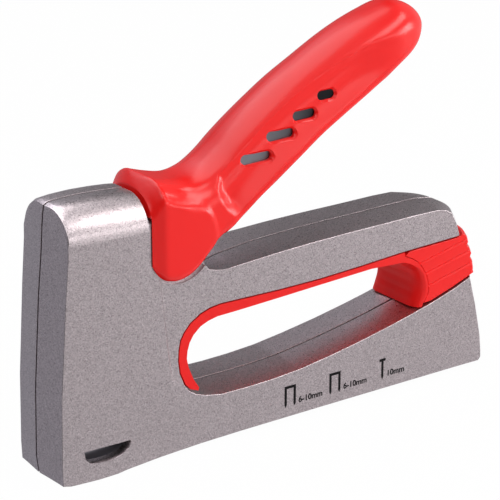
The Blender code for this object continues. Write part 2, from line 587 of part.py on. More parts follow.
def make_lever():
    origin = (PIVOT[0], 0, PIVOT[1])
    rounded = [(PIVOT[0] + 7.5 * math.cos(a), PIVOT[1] + 7.5 * math.sin(a))
               for a in (math.radians(200 + 24 * i) for i in range(5))]
    outline = [along_arm(33.4, ARM_HALF), along_arm(34.0, -ARM_HALF + 1.2), along_arm(32.6, -ARM_HALF)]
    outline += [along_arm(9.0, -ARM_HALF)] + rounded + [along_bar(11.0, -BAR_HALF)]
    outline += [along_bar(WEB_END, -BAR_HALF), along_bar(60, -8), along_bar(70, -9), along_bar(LEVER_REACH, -8)]
    outline += [along_bar(LEVER_REACH + 1, -2), along_bar(LEVER_REACH - 3, 3), along_bar(WEB_END, BAR_HALF)]
    outline += [along_bar(2.0, BAR_HALF), along_arm(4.0, ARM_HALF + 2.5)]
    outline += [along_arm(14.0, ARM_HALF)]
    lever = add_object("lever", plate(outline, -LEVER_OUT, -LEVER_IN), "steel", origin)
    web = box(16.0, WEB_END - 0.4, -LEVER_OUT + 0.4, LEVER_OUT - 0.4, -1.6, -0.05)
    place_on_bar(web, 0, BAR_HALF)
    join(lever, add_object("lever_other_plate", plate(outline, LEVER_IN, LEVER_OUT), None),
         add_object("lever_web", web, None))
    pivot_hole = rod("y", PIVOT, 2.5 + CLEAR, -12, 12, sides=24)
    fork = plate([along_arm(r, h) for r, h in ((27.6, -1.95), (36, -1.95), (36, 1.95), (27.6, 1.95), (26.8, 0))], -12, 12)
    cut(lever, add_object("lever_pivot_hole", pivot_hole, None), add_object("lever_fork", fork, None))
    for number, (distance, _) in enumerate(COVER_SCREWS):
        hole = rod("z", (0, 0), 1.2 + CLEAR, -4, 2, sides=14)
        place_on_bar(hole, distance, BAR_HALF)
        cut(lever, add_object(f"lever_web_hole_{number}", hole, None))
    return lever


def make_cover_screws():
    for number, (distance, height) in enumerate(COVER_SCREWS, 1):
        screw = headed_pin(1.2, 2.4, 0.8 - height, 1.9, 1.2)
        bmesh.ops.transform(screw, matrix=Matrix.Rotation(math.pi, 4, "Y"), verts=screw.verts)
        place_on_bar(screw, distance, BAR_HALF)
        add_object(f"cover_screw_{number}", screw, "steel", (PIVOT[0], 0, PIVOT[1]))


def make_plunger():
    profile = [(CUP_OUT, CUP_TOP), (CUP_OUT, CUP_LOW), (0, CUP_LOW), (0, CUP_LOW + 3), (CUP_IN, CUP_LOW + 3),
               (CUP_IN, CUP_TOP), (CUP_OUT, CUP_TOP)]
    cup = turned("plunger", profile, (LIFT_X, 0), "steel")
    pad = box(7.75, 11.5, -4.5, 4.5, CUP_LOW + 0.2, 45.0)
    pins = [rod("y", (LIFT_X, LIFT_Z), PIN_R, *sorted((side * 6.8, side * 10.3)), sides=16) for side in (-1, 1)]
    join(cup, add_object("plunger_pad", pad, None), add_object("left_pin", pins[0], None),
         add_object("right_pin", pins[1], None))
    for number, z in enumerate((34.5, 41.0)):
        cut(cup, add_object(f"plunger_rivet_hole_{number}", rod("x", (0, z), 1.3, 7.0, 10.8, sides=14), None))
    cut(cup, add_object("plunger_bore", rod("z", (LIFT_X, 0), CUP_IN, CUP_LOW + 3, 90, sides=28), None))
    return cup


def make_driver():
    outline = [(-DRIVER_HALF, -0.6), (DRIVER_HALF, -0.6), (DRIVER_HALF, 44.0), (4.0, 46.0), (-4.0, 46.0),
               (-DRIVER_HALF, 44.0)]
    bm = plate(outline, *DRIVER_X)
    bmesh.ops.transform(bm, matrix=Matrix.Rotation(math.pi / 2, 4, "Z") @ Matrix.Scale(-1, 4, (0, 1, 0)), verts=bm.verts)
    driver = add_object("driver_blade", bm, "bright_steel")
    for number, z in enumerate((34.5, 41.0)):
        cut(driver, add_object(f"driver_rivet_hole_{number}", rod("x", (0, z), 1.3, 6.0, 7.7, sides=14), None))
    for number, z in enumerate((34.5, 41.0), 1):
        add_object(f"driver_rivet_{number}", rod("x", (0, z), 1.0, 6.45, 8.75, sides=12), "steel")
    return driver


def make_column_parts():
    coil("main_spring", (LIFT_X, 0, 0), SPRING_R, SPRING_WIRE, CUP_LOW + 3.3, SEAT_Z - 0.3, 9, "z", "bright_steel", detail=2)
    seat = [(0, 82.0), (6.6, 82.0), (6.6, SEAT_Z), (3.7, SEAT_Z), (3.7, 76.5), (0, 76.0)]
    turned("spring_seat", seat, (LIFT_X, 0), "dark_steel")
    bumper = box(9.2, 30.6, -10.5, 10.5, 23.5, CUP_LOW - CLEAR)
    obj = add_object("plunger_bumper", bumper, "black_rubber")
    obj.modifiers.new("Rounding", "BEVEL").width = 1.2 * MM
    outline = [(-8.0, -1.2), (8.0, -1.2), (8.0, 12.0), (7.0, 13.0), (7.0, 30.0), (8.0, 31.0), (8.0, 36.0),
               (-8.0, 36.0), (-8.0, 31.0), (-7.0, 30.0), (-7.0, 13.0), (-8.0, 12.0)]
    bm = plate(outline, 4.9, 6.1)
    bmesh.ops.transform(bm, matrix=Matrix.Rotation(math.pi / 2, 4, "Z") @ Matrix.Scale(-1, 4, (0, 1, 0)), verts=bm.verts)
    add_object("nose_guide_plate", bm, "steel")
    add_object("lever_pivot_pin", rod("y", PIVOT, 2.5, -12.1, 12.1, sides=24), "bright_steel")
    coil("handle_return_spring", (PIVOT[0], 0, PIVOT[1]), 4.2, 0.7, -6.8, 6.8, 6, "y", "bright_steel")


def trough(half, wall, z0, z1, x0, x1, opens_up):
    """A folded channel section: three walls round an open side, as one outline across the tool."""
    if opens_up:
        outline = [(-half, z1), (-half, z0), (half, z0), (half, z1), (half - wall, z1), (half - wall, z0 + wall * 0.8),
                   (-half + wall, z0 + wall * 0.8), (-half + wall, z1)]
    else:
        outline = [(-half, z0), (-half, z1), (half, z1), (half, z0), (half - wall, z0), (half - wall, z1 - wall),
                   (-half + wall, z1 - wall), (-half + wall, z0)]
    bm = plate(outline, x0, x1)
    bmesh.ops.transform(bm, matrix=Matrix.Rotation(math.pi / 2, 4, "Z") @ Matrix.Scale(-1, 4, (0, 1, 0)), verts=bm.verts)
    return bm


def make_magazine():
    origin = (MAGAZINE_PIVOT[0], 0, MAGAZINE_PIVOT[1])
    channel = trough(CHANNEL_HALF, CHANNEL_WALL, *CHANNEL_Z, MAG_FRONT, MAG_REAR - 1.6, False)
    add_object("magazine_channel", channel, "steel")
    base = add_object("magazine_base", trough(BASE_HALF, BASE_WALL, BASE_Z[0], 6.5, MAG_FRONT, MAG_REAR, True),
                      "steel", origin)
    join(base, add_object("base_end", box(MAG_REAR - 1.2, MAG_REAR, -8.2, 8.2, 0.8, 6.4), None),
         add_object("base_catch", box(MAG_REAR - 0.8, MAG_REAR + 2.2, -4, 4, 5.3, 6.3), None))
    cut(base, add_object("base_hinge_hole", rod("y", MAGAZINE_PIVOT, 1.5, -12, 12, sides=16), None))
    core = add_object("magazine_rail", trough(CORE_HALF, CORE_WALL, *CORE_Z, MAG_FRONT - 0.2, MAG_REAR - 1.8, False),
                      "bright_steel", origin)
    foot_half = CORE_HALF - 0.4
    join(core, add_object("rail_front_foot", box(9.0, 16.0, -foot_half, foot_half, CORE_Z[0] + 0.1, 2.4), None),
         add_object("rail_rear_foot", box(138.2, 150.0, -foot_half, foot_half, CORE_Z[0] + 0.1, 2.4), None),
         add_object("rail_front_wall", box(9.0, 10.2, -foot_half, foot_half, 2.0, 9.4), None),
         add_object("rail_rear_wall", box(138.2, 139.4, -foot_half, foot_half, 2.0, 9.4), None))
    cut(core, add_object("rail_slot", box(14.0, 136.0, -1.4, 1.4, 8.6, 12), None),
        add_object("rail_rod_hole", rod("x", (0, ROD_Z), ROD_R + CLEAR, 8.0, 141.0, sides=14), None))
    for tag, x in (("front", 13.0), ("rear", 145.0)):
        for tool in (base, core):
            cut(tool, add_object(f"{tool.name}_{tag}_rivet_hole", rod("z", (x, 0), 1.4, -1, 2.6, sides=14), None))
        rivet = headed_pin(1.1, 2.0, 0.4, 2.7, 0.8)
        bmesh.ops.translate(rivet, vec=(x, 0, 0), verts=rivet.verts)
        add_object(f"magazine_{tag}_rivet", rivet, "steel", origin)
    add_object("guide_rod", rod("x", (0, ROD_Z), ROD_R, 9.3, 139.0, sides=14), "bright_steel", origin)
    for tag, side in (("left", -1), ("right", 1)):
        pin = rod("y", MAGAZINE_PIVOT, 1.2, *sorted((side * 7.5, side * 11.6)), sides=14)
        add_object(f"magazine_{tag}_hinge_pin", pin, "bright_steel")
    strip = trough(5.7, 0.7, 1.7, 10.9, DRIVER_X[1] + 0.4, STRIP_END, False)
    add_object("staple_strip", strip, "bright_steel", origin)


def make_pusher():
    saddle = trough(5.9, 1.0, 2.0, 11.1, *PUSHER_X, False)
    pusher = add_object("staple_pusher", saddle, "dark_steel", (PUSHER_X[0], 0, MAGAZINE_PIVOT[1]))
    join(pusher, add_object("pusher_tongue", box(63.0, 68.0, -1.0, 1.0, 7.0, 10.6), None),
         add_object("pusher_foot", box(63.0, 68.0, -2.6, 2.6, 3.9, 8.2), None))
    cut(pusher, add_object("pusher_rod_hole", rod("x", (0, ROD_Z), ROD_R + CLEAR, 60.0, 70.0, sides=14), None))
    coil("pusher_spring", (0, 0, ROD_Z), 2.1, 0.4, 68.6, 137.9, 14, "x", "bright_steel", per_turn=8)


def layered(outline_at, levels, inset):
    """Skin through outlines stacked across the tool, each out to its share of the body's side face."""
    rings = []
    for level in levels:
        rings.append([(x, level * (side_half_width(x, z) - inset), z) for x, z in outline_at(abs(level))])
    return loft(rings)


def make_trim():
    """Finger-loop trim: the thin lip and the palm face in front of the release block, in one moulding."""
    def outline(level):
        roll = 1 - math.sqrt(max(0.0, 1 - max(0.0, (level - 0.62) / 0.38) ** 2))
        face = [(x + (side_x - x) * roll, z) for x, z, side_x in PALM_FACE]
        return TRIM_OUTER + LOOP_REAR + face + TRIM_INNER

    levels = (-1, -0.97, -0.9, -0.8, -0.62, 0.62, 0.8, 0.9, 0.97, 1)
    return add_object("finger_loop_trim", layered(outline, levels, 0.1), "red_plastic")


def make_release_block():
    front = [(x + CLEAR, z, 0, 0) for x, z in LOOP_REAR]
    top = [(163.2, 48.3 - BLOCK_GAP, -REAR_BULGE, 0), (157.5, 48.0 - BLOCK_GAP, 0, 0), (136.5, 47.3 - BLOCK_GAP, 0, 0)]
    rear = [(x, z, -REAR_BULGE, -1.2 * (z < 36)) for x, z in BLOCK_REAR]
    rail = [(156.0, 30.2 + BLOCK_GAP, 0, -0.9), (146.0, 27.2 + BLOCK_GAP, 0, -0.9)]
    points = front + rail[::-1] + rear[::-1] + top

    def outline(level):
        return [(x + dx * level ** 2, z + dz * level ** 2) for x, z, dx, dz in points]

    levels = (-1, -0.93, -0.78, -0.55, -0.28, 0, 0.28, 0.55, 0.78, 0.93, 1)
    block = add_object("release_block", layered(outline, levels, 0.2), "red_plastic")
    slot = box(130.0, POST_X[1] + CLEAR, -POST_HALF - CLEAR, POST_HALF + CLEAR, 20, 52)
    pocket = box(HOOK_X[0] - CLEAR, HOOK_X[1] + CLEAR, -3.3, 3.3, 20, 37)
    cut(block, add_object("block_post_slot", slot, None), add_object("block_hook_pocket", pocket, None))
    for number, (x, z) in enumerate(((141.9, 41.5), (144.4, 37.4), (145.2, 32.7))):
        for tag, side in (("left", -1), ("right", 1)):
            low, high = sorted((side * 12.1, side * 16))
            groove = box(-3, 30, low, high, -0.3, 0.3)
            matrix = Matrix.Translation((x, 0, z)) @ Matrix.Rotation(-GROOVE_TILT, 4, "Y")
            bmesh.ops.transform(groove, matrix=matrix, verts=groove.verts)
            cut(block, add_object(f"{tag}_block_groove_{number}", groove, None))
    hook = [(HOOK_X[0], 4.2), (HOOK_X[1], 4.2), (HOOK_X[1], 36.6), (HOOK_X[0], 36.6)]
    add_object("release_hook", plate(hook, -3.0, 3.0), "steel")
    coil("release_spring", (0, 0, 15.0), 2.6, 0.4, HOOK_X[1] + 0.3, 165.4, 5, "x", "bright_steel", per_turn=8)


def clear_scene():
    for obj in list(bpy.data.objects):
        bpy.data.objects.remove(obj)


clear_scene()
PARTS = new_collection("staple_gun")
CUTTERS = new_collection("cutters")
FRAME = bpy.data.objects.new("staple_gun_frame", None)
FRAME.location = (-TAIL_X / 2 * MM, 0, NOSE_DROP * MM)
PARTS.objects.link(FRAME)

for half in (-1, 1):
    make_shell(half)
make_body_screws()
make_trim()
make_release_block()
make_handle_cover()
make_lever()
make_cover_screws()
make_plunger()
make_driver()
make_column_parts()
make_magazine()
make_pusher()
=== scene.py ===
import math

import bmesh
import bpy
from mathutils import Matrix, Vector
from mathutils.bvhtree import BVHTree


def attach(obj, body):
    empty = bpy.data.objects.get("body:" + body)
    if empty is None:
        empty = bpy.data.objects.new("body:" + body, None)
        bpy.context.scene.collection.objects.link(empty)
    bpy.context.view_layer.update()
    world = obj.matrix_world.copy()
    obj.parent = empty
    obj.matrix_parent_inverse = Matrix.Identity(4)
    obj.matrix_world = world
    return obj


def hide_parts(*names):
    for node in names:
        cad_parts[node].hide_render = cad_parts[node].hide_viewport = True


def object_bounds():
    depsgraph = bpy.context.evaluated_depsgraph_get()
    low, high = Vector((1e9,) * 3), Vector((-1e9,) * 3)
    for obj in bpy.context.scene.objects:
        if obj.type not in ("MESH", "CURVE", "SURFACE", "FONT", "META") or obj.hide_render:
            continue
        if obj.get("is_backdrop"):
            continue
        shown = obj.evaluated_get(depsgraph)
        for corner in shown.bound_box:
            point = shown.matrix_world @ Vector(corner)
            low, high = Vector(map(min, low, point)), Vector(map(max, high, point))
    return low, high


bl_info = {
    "name": "Staple gun looks",
    "version": (1, 0, 0),
    "blender": (4, 5, 0),
    "location": "3D View > Sidebar > Staple gun",
    "description": "Builds the finished surfaces of a hand staple gun around its packed frame",
    "category": "Add Mesh",
}

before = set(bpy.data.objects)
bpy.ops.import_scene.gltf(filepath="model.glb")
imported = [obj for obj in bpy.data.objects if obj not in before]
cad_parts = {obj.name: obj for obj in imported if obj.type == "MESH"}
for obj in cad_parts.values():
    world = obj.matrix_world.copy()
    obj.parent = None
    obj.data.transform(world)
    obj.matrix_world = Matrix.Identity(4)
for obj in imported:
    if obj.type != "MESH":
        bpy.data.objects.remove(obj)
CAD_LOW, CAD_HIGH = (Vector(corner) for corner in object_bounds())

# Pieces are modelled in millimetres in the tool's side view: X runs back from the nose, Z up from the
# rail's underside and Y across, the near half at -Y. finish_piece() moves them to the frame, in metres.
MM = 0.001
NOSE_DROP = 2.3
TO_FRAME = Vector((CAD_LOW.x, 0, CAD_LOW.z + NOSE_DROP * MM))

PARTING = 0.32
REAR_BULGE = 5.0
COLUMN_HALF = 14.5
REAR_HALF, REAR_HALF_X, REAR_TAPER = 13.31, 80.0, 0.0093
SLANT = 0.112
CREASE_TOP = (34.2, 78.0)             # a place on the crease behind the column, in the side view
CREASE_START, CREASE_WIDTH, CREASE_SPREAD, CREASE_FADE = -0.2, 1.2, 7.0, (8, 32)
NOSE_BOW, NOSE_BOW_X, NOSE_BOW_RUN = 1.6, 30.0, 28.3
FOOT_X, FOOT_RISE = 22, (2.0, 30.0)   # behind this, the column's foot narrows between these heights
SHOULDER_START, SHOULDER_POWER = 0.3, 1.75
CHEEK_SEAT = 12.3
PIVOT = (44.5, 67.7)
CHEEK_R, CHEEK_GAP = 12.2, 0.45
MAGAZINE_PIVOT = (9.0, 3.0)
CLEAR = 0.3
OUTSIDE = 20        # half width beyond every side face

# Body outline on the centre plane, clockwise from the nose's underside. Each point is (x, z, how far
# it moves along x at the side face, how far along z, share of the column's round shoulder), and what it
# leaves out at its end is 0.
FRONT = [
    (0.7, -1.5, 1.3, -0.3), (0, 4, 1.8), (0.6, 26.5, 1.8), (2.8, 56, 1.8), (4.3, 70.3, 1.6),
    (4.8, 77, 1.2, -3, 1), (5.2, 81.2, 1, -7, 1), (5.7, 83.8, 0.7, -9.5, 1),
]
COLUMN_TOP = [
    (7, 84.6, 0.4, -10.5, 1), (11, 85, 0, -11, 1), (18, 85.2, 0, -11.2, 1), (25, 85, 0, -11, 1),
    (31, 84.6, 0, -10.6, 1), (33.2, 84.3, 0, -10.2, 1),
]
EAR = [
    (33.4, 79, 0, -6.5, 1), (36.3, 76.3, 0, -1), (44.5, 76.8), (50.3, 75), (53.4, 70.5), (53.6, 64),
    (53.6, 60.3), (55.2, 57.4), (57.8, 54.9, 0, 1.8),
]
GRIP_TOP = [
    (61, 54.9, 0, 1.3), (66.5, 56.3, 0, 0.2), (80, 58, 0, -0.6), (95, 58.8, 0, -0.7),
    (110, 59.2, 0, -0.7), (125, 59.4, 0, -0.7), (140, 59.8, 0, -0.8), (149, 59.8, -0.8, -0.9),
    (155.4, 58.9, -3.4, -0.8), (159, 57.1, -4.7, -0.4), (160.5, 54.5, -5, -0.1), (161.9, 51.5, -5),
    (163, 48.3, -5),
]
GRIP_UNDER = [
    (157.5, 48), (132, 47.1), (115, 46), (98.7, 45.2), (82.7, 45), (67.1, 45.2), (59.5, 45.3),
    (55.5, 44.8), (51.8, 43.6), (47.9, 41.2), (45.5, 38.6), (44.2, 36.2), (43.6, 33), (43.4, 29.6),
    (43.9, 25.4), (45.6, 21.2), (47.3, 18.8), (50, 17), (54, 16.1, 0, -0.4),
]
RAIL_TOP = [
    (60, 15.4, 0, -0.8), (70, 15.4, 0, -0.9), (80, 15.7, 0, -0.9), (91, 16.5, 0, -0.9),
    (103, 18.2, 0, -0.9), (116, 20.4, 0, -0.9), (128, 22.8, 0, -0.9), (137, 24.8, 0, -0.9),
    (146, 27, 0, -0.9), (156, 29.9, 0, -0.9), (168.5, 33.1, -5, -1.2),
]
TAIL = [
    (169.8, 27.1, -5), (171.5, 21.1, -5), (172.8, 15.3, -5), (174.1, 9.4, -5), (174.8, 3.5, -5),
    (174.9, 1, -5), (173.9, -0.1, -5),
]
UNDERSIDE = [
    (160, 0), (100, 0), (67, -0.1), (51.5, -0.3), (36.4, -0.9), (25.3, -1.7), (14.5, -NOSE_DROP),
    (4, -NOSE_DROP, 0.6),
]
BODY_OUTLINE = [(*point, 0, 0, 0)[:5] for point in
                FRONT + COLUMN_TOP + EAR + GRIP_TOP + GRIP_UNDER + RAIL_TOP + TAIL + UNDERSIDE]
BODY_LEVELS = (0, 0.15, 0.3, 0.43, 0.55, 0.66, 0.75, 0.83, 0.89, 0.935, 0.968, 0.988, 1)
SIDE = 13.5            # half width that the levels are drawn at before the body takes its real width
# Extra edge lines in the body's sides, where its width changes.
BODY_CUTS_X = (4, 6.5, 9, 12, 15, 18, 21, 24, 27, 30, 33, 48, 56, 70, 90, 110, 130, 150)
BODY_CUTS_Z = (2, 5, 9, 13, 17, 21, 25, 30, 36, 43, 50, 57, 63, 68, 73, 77)
CREASE_CUTS = (-0.2, 0.1, 0.4, 0.7, 1, 1.3, 1.6)

# Hollows of each half: outline, then how far out across the tool they reach.
HOLLOWS = [
    ([(3.3, -6), (3.6, 10), (5.7, 70), (6.1, 77.6), (31, 77.6), (31, 60), (41, 54), (40.9, 30),
      (44, 18), (50, 13), (50, -6)], 11),
    ([(6.1, 77), (6.7, 80.4), (31, 80.4), (31, 77)], 10),
    ([(6.6, 80), (7.4, 82.2), (31, 82.2), (31, 80)], 7.5),
    ([(40, -6), (40, 12.8), (85, 12.8), (100, 14.8), (115, 17.4), (130, 20.4), (145, 23.8), (157, 27),
      (162.8, 27), (165.8, 16), (166.8, -6)], 10.6),
    ([(58.5, 47.9), (58.5, 51.8), (66, 53.4), (80, 55.3), (110, 56.6), (140, 56.4), (152, 55.2),
      (154.5, 50.6), (132, 49.7), (98.7, 47.9)], 10.6),
    ([(29, 55.5), (29, 79), (34.4, 79), (36, 92), (62, 92), (62, 57.9), (52, 57.3), (48, 55.5)], 10),
]
WINDOW = [
    (9.6, 7.9), (14, 7.95), (20, 7.95), (24.9, 7.9), (25.3, 7.2), (24.4, 5.6), (21.9, 4.3), (18.2, 3.8),
    (14.6, 3.7), (11.6, 4), (10, 5.5),
]

WINDOW_MIDDLE, WINDOW_START = (17.4, 6.2), 9.5

# Screws that clamp the halves: (x, z, how far out the head's underside sits).
SCREWS = [
    (28.2, 79, 9.7), (37, 24, 11.5), (92, 52.4, 11.5), (143, 52.6, 11.5), (139, 18.6, 11.5),
]
SCREW_R, SCREW_HEAD_R, SCREW_BOSS_R = 1.4, 2.8, 2.7

# Printed marks: staples as (x, x, z, z), the nail as (x, z, z), texts as (words, x, z, width).
STAPLE_MARKS = [(84.5, 89.1, 3.3, 10.8), (102.9, 107.6, 3.4, 10.9)]
NAIL_MARK = (125.5, 3.4, 10.9)
SIZE_TEXTS = [("6-10mm", 90.2, 4, 9.8), ("6-10mm", 108.8, 4.1, 9.9), ("10mm", 127.3, 4.2, 7.2)]
TEXT_HEIGHT, CAPITAL = 2, 0.7       # numeral height, and the font's own capital height
MARK_HALF, INK_RISE, INK_ROOT = 0.1, 0.03, 0.2

# Red finger-loop trim: the edge that meets the metal, then the edge that faces the fingers.
TRIM_OUTER = [
    (50.9, 18), (47.9, 19.2), (46.1, 21.3), (44.3, 25.5), (43.8, 29.7), (44, 33), (44.6, 36.1),
    (45.9, 38.4), (48.2, 40.9), (52, 43.2), (55.7, 44.4), (59.5, 44.9), (67.1, 44.8), (82.7, 44.6),
    (98.7, 44.8), (115, 45.6), (134.1, 46.8),
]
LOOP_REAR = [
    (134.2, 45.4), (137.7, 43.7), (139.9, 42.2), (141.7, 40.2), (143.6, 37.3), (144.6, 34.2), (145, 31),
    (144, 28.6), (142.8, 26.9),
]
# Palm face in front of the release block: (x, z) at the centre plane, x at the side face.
PALM_FACE = [
    (139.3, 25.7, 142.2), (140.2, 28.2, 143.2), (141.2, 31.2, 144), (141.6, 34.2, 143.6),
    (140.7, 37.3, 142.6), (138.8, 39.9, 140.4), (136.2, 42, 137.2), (133, 43.4, 133.6),
]
TRIM_INNER = [
    (120, 44), (98.7, 43), (82.7, 42.2), (67.1, 41.5), (58.3, 41.2), (54.9, 40.5), (51.9, 39.3),
    (49.3, 37.1), (47.8, 34.8), (47, 32.3), (46.7, 29.7), (47.3, 26.8), (49.1, 22.3), (51.2, 19),
]
PALM_STEP, PALM_LOW, PALM_PITCH = 0.4, 26, 3.1      # shallow steps up the palm face
TRIM_SIDE = 12.6
TRIM_LEVELS = (0, 0.3, 0.55, 0.66, 0.76, 0.84, 0.9, 0.945, 0.975, 1)

# Ribbed rear of the release block on the centre plane, from the lip behind the grip's end downwards.
BLOCK_REAR = [
    (163.9, 47.7), (164.5, 48.3), (165.7, 47.9), (166.9, 46.3), (167.3, 44.8), (166.8, 43.8),
    (168.3, 42), (168.9, 40.4), (168.3, 39.1), (169.6, 37.3), (170, 35.8), (169.3, 34.8), (170.2, 34.4),
    (169.6, 34.2),
]
BLOCK_GAP = 0.65
POST_X, POST_HALF = (146.6, 152.4), 5.0
# Inside each half: bumper shelf, two channel ribs and the release post, as x, y and z ranges.
INSIDE_BARS = [
    (8.8, 31.6, 6, 11.6, 19.5, 23.2), (60, 66, 7.5, 11.2, 9.6, 12.9), (112, 118, 7.5, 11.2, 9.6, 12.9),
    (*POST_X, PARTING, POST_HALF, 25, 50.5),
]
HOOK_X = (155.5, 157)
RELEASE_TRAVEL = 3.5
RIB_LINES = ((141.9, 41.5), (144.4, 37.4), (145.2, 32.7))
RIB_TILT = math.radians(12.4)
RIB_CUTS = (-0.9, -0.45, -0.2, 0, 0.2, 0.45, 0.9)
BLOCK_SIDE, BLOCK_EDGE, RIB_START = 12.2, 0.35, (11.4, 12.4)
BLOCK_LEVELS = (0, 0.2, 0.4, 0.6, 0.76, 0.88, 0.95, 1)

# Handle cover sections from the collar to the tip: (x, top, low, half width, top round across, up).
HANDLE = [
    (35.3, 84.9, 59.9, 12.75, 12.75, 9), (36.1, 85.9, 59, 13.1, 12.9, 9.2),
    (37.5, 87.2, 57.9, 13.8, 12.4, 8.2), (39, 87.9, 56.9, 14.5, 10.2, 7),
    (40.2, 87.5, 56.3, 14.7, 9.6, 6.6), (41.8, 87, 55.9, 14.7, 9.5, 6.5),
    (44.5, 86.3, 55.5, 14.7, 10, 7), (48.5, 85.6, 56.1, 14.6, 11, 9), (52, 85.5, 58.2, 14.5, 11.5, 10),
    (56, 86.5, 61.9, 14.3, 12, 11), (60, 88.4, 65.2, 14, 12, 12), (65, 92.2, 67.6, 13.6, 12.5, 12.5),
    (70, 96.6, 71.2, 13.3, 12.5, 12.5), (76, 101.3, 75.6, 13.1, 12.5, 12.5),
    (83, 106.2, 80.2, 13, 12.5, 12.5), (91, 111.4, 85.6, 12.9, 12.5, 12.5),
    (100, 116.3, 91.7, 12.8, 12.4, 12.4), (110, 121.6, 97.4, 12.7, 12.3, 12),
    (118, 125.2, 101.7, 12.5, 12, 11.5), (126, 128, 106.1, 12.1, 11.5, 10.5),
    (133, 129.9, 110.1, 11.2, 10.5, 9.5), (138.3, 129.2, 112.6, 9.7, 9.2, 8.3),
    (142.3, 127.3, 114.9, 7.6, 7.2, 6.4), (145, 124.9, 117.6, 5, 4.7, 3.9),
    (146.3, 122.9, 119.9, 2.2, 2, 1.6), (146.6, 121.8, 121, 0.7, 0.6, 0.4),
]
COVER_UNDER = [(124, 112), (112, 96), (94, 84), (76, 70), (64, 55), (30, 50)]
COVER_CROWN = [
    (30, 81.5), (44.5, 81.8), (50, 81.9), (56, 83.6), (62, 87.3), (70, 94), (78, 100.2), (88, 106.7),
    (100, 113.4), (110, 118.8), (118, 122.2), (124, 123.4), (127, 121), *COVER_UNDER,
]
COVER_CHANNEL = [
    (30, 76.5), (38, 77.2), (46, 79.8), (52, 81.6), (60, 84.1), (70, 91.2), (86.5, 102.4), (100, 110.2),
    (112, 115.6), (120, 118.4), (125, 116), *COVER_UNDER,
]
COVER_CHEEKS = [
    (30, 77), (37.5, 77.3), (52, 77.4), (56, 76.3), (60, 74), (63, 70), (63, 50), (30, 50),
]
COVER_HALVES = (6, 9.65, 12.6)       # half widths of those three hollows
LEVER_ROOM = 10.0                     # half width that the cover keeps over the lever
SLOTS = [(75.4, 88.8, 10.8), (84.7, 94.7, 10), (93.8, 99.8, 8.4), (102.4, 104.9, 6.4)]
SLOT_HIGH, SLOT_TILT = 2.9, math.radians(3)
SIDE_SHARE = (0.5, 0.85)              # share of the half width over which the side's forms set in
NECK_EDGE, NECK_FRONT, NECK_FADE = (-2.6, 0.35), (38.6, 40.4), (3, 13)
HOLLOW_X, HOLLOW_BLUNT, HOLLOW_END, TIP_X = 58, (0, 4.5), (112, 134), 133
HOLLOW_RISE, HOLLOW_FALL = 4, (7, 18)                 # below the hollow's upper crease
# Side-view lines of the handle's modelled forms.
CHEEK_LINE = [
    (39.4, 83.7), (40.8, 82.6), (42.9, 81.6), (46, 81), (50, 80.9), (52.4, 80.2), (55.4, 77.6),
    (57.4, 74.8), (58.6, 71.3), (59, 68.6), (59.1, 64),
]
SCOOP_LINE = [
    (59.1, 84.1), (60.6, 85.8), (62.5, 87.6), (67, 91.7), (71.1, 95.3), (75, 98.5), (78.7, 101.1),
    (85.5, 104.8), (92.6, 108.4), (99.7, 111.4), (107.2, 114.9), (114.8, 117.8), (122.5, 120),
    (130.8, 120.9),
]
BLUNT_LINE = [
    (59.1, 84.1), (58.6, 83.1), (58.7, 81.7), (58.8, 80), (60, 78), (62.1, 74.7), (64.9, 71.6),
]


def srgb(*levels):
    """The linear colour of a colour given as it looks on a screen, 0 to 255."""
    return tuple(((c / 255 + 0.055) / 1.055) ** 2.4 if c > 10 else c / 255 / 12.92 for c in levels)


# --- properties ---
def length_property(name, description, default):
    return bpy.props.FloatProperty(
        name=name, description=description, default=default * MM, min=0, precision=4, unit="LENGTH")


def colour_property(name, description, colour):
    return bpy.props.FloatVectorProperty(
        name=name, description=description, default=colour, min=0, max=1, size=3, subtype="COLOR")


class StapleGunSizes(bpy.types.PropertyGroup):
    casting_edge: length_property("Casting edge", "Rounding of the body's outer edges", 0.55)
    parting_edge: length_property("Parting edge", "Rounding where the two halves meet", 0.2)
    window_flare: length_property("Window flare", "How far the nose window opens outwards", 0.55)
    moulding_edge: length_property("Moulding edge", "Rounding of the red trim's edges", 0.4)
    rib_depth: length_property("Rib depth", "Depth of the lines between the release block's ribs", 0.5)
    scoop_depth: length_property("Scoop depth", "Depth of the hollow along the handle's sides", 2.4)
    neck_step: length_property("Neck step", "How far the cheeks stand out from the handle's neck", 0.7)
    slot_rim: length_property("Slot rim", "Width of the chamfered rims round the handle's slots", 0.7)
    flake: length_property("Flake", "Size of the flakes in the metallic paint", 0.25)
    mark_stroke: length_property("Mark stroke", "Line width of the printed marks", 0.95)


class StapleGunColours(bpy.types.PropertyGroup):
    cast_metal: colour_property("Cast metal", "Satin paint on the cast body", srgb(183, 171, 173))
    flake: colour_property("Flake", "Lighter flakes in the paint", srgb(222, 212, 214))
    red: colour_property("Red", "Handle cover and release block", srgb(248, 24, 21))
    trim_red: colour_property("Trim red", "Finger-loop trim", srgb(244, 22, 19))
    steel: colour_property("Steel", "Rolled steel of the lever and magazine", srgb(128, 128, 134))
    bright_steel: colour_property("Bright steel", "Springs, pins and staples", srgb(196, 196, 200))
    dark_steel: colour_property("Dark steel", "Blackened steel", srgb(60, 60, 64))
    rubber: colour_property("Rubber", "Bumper", srgb(32, 32, 34))
    ink: colour_property("Ink", "Printed marks", srgb(16, 13, 15))


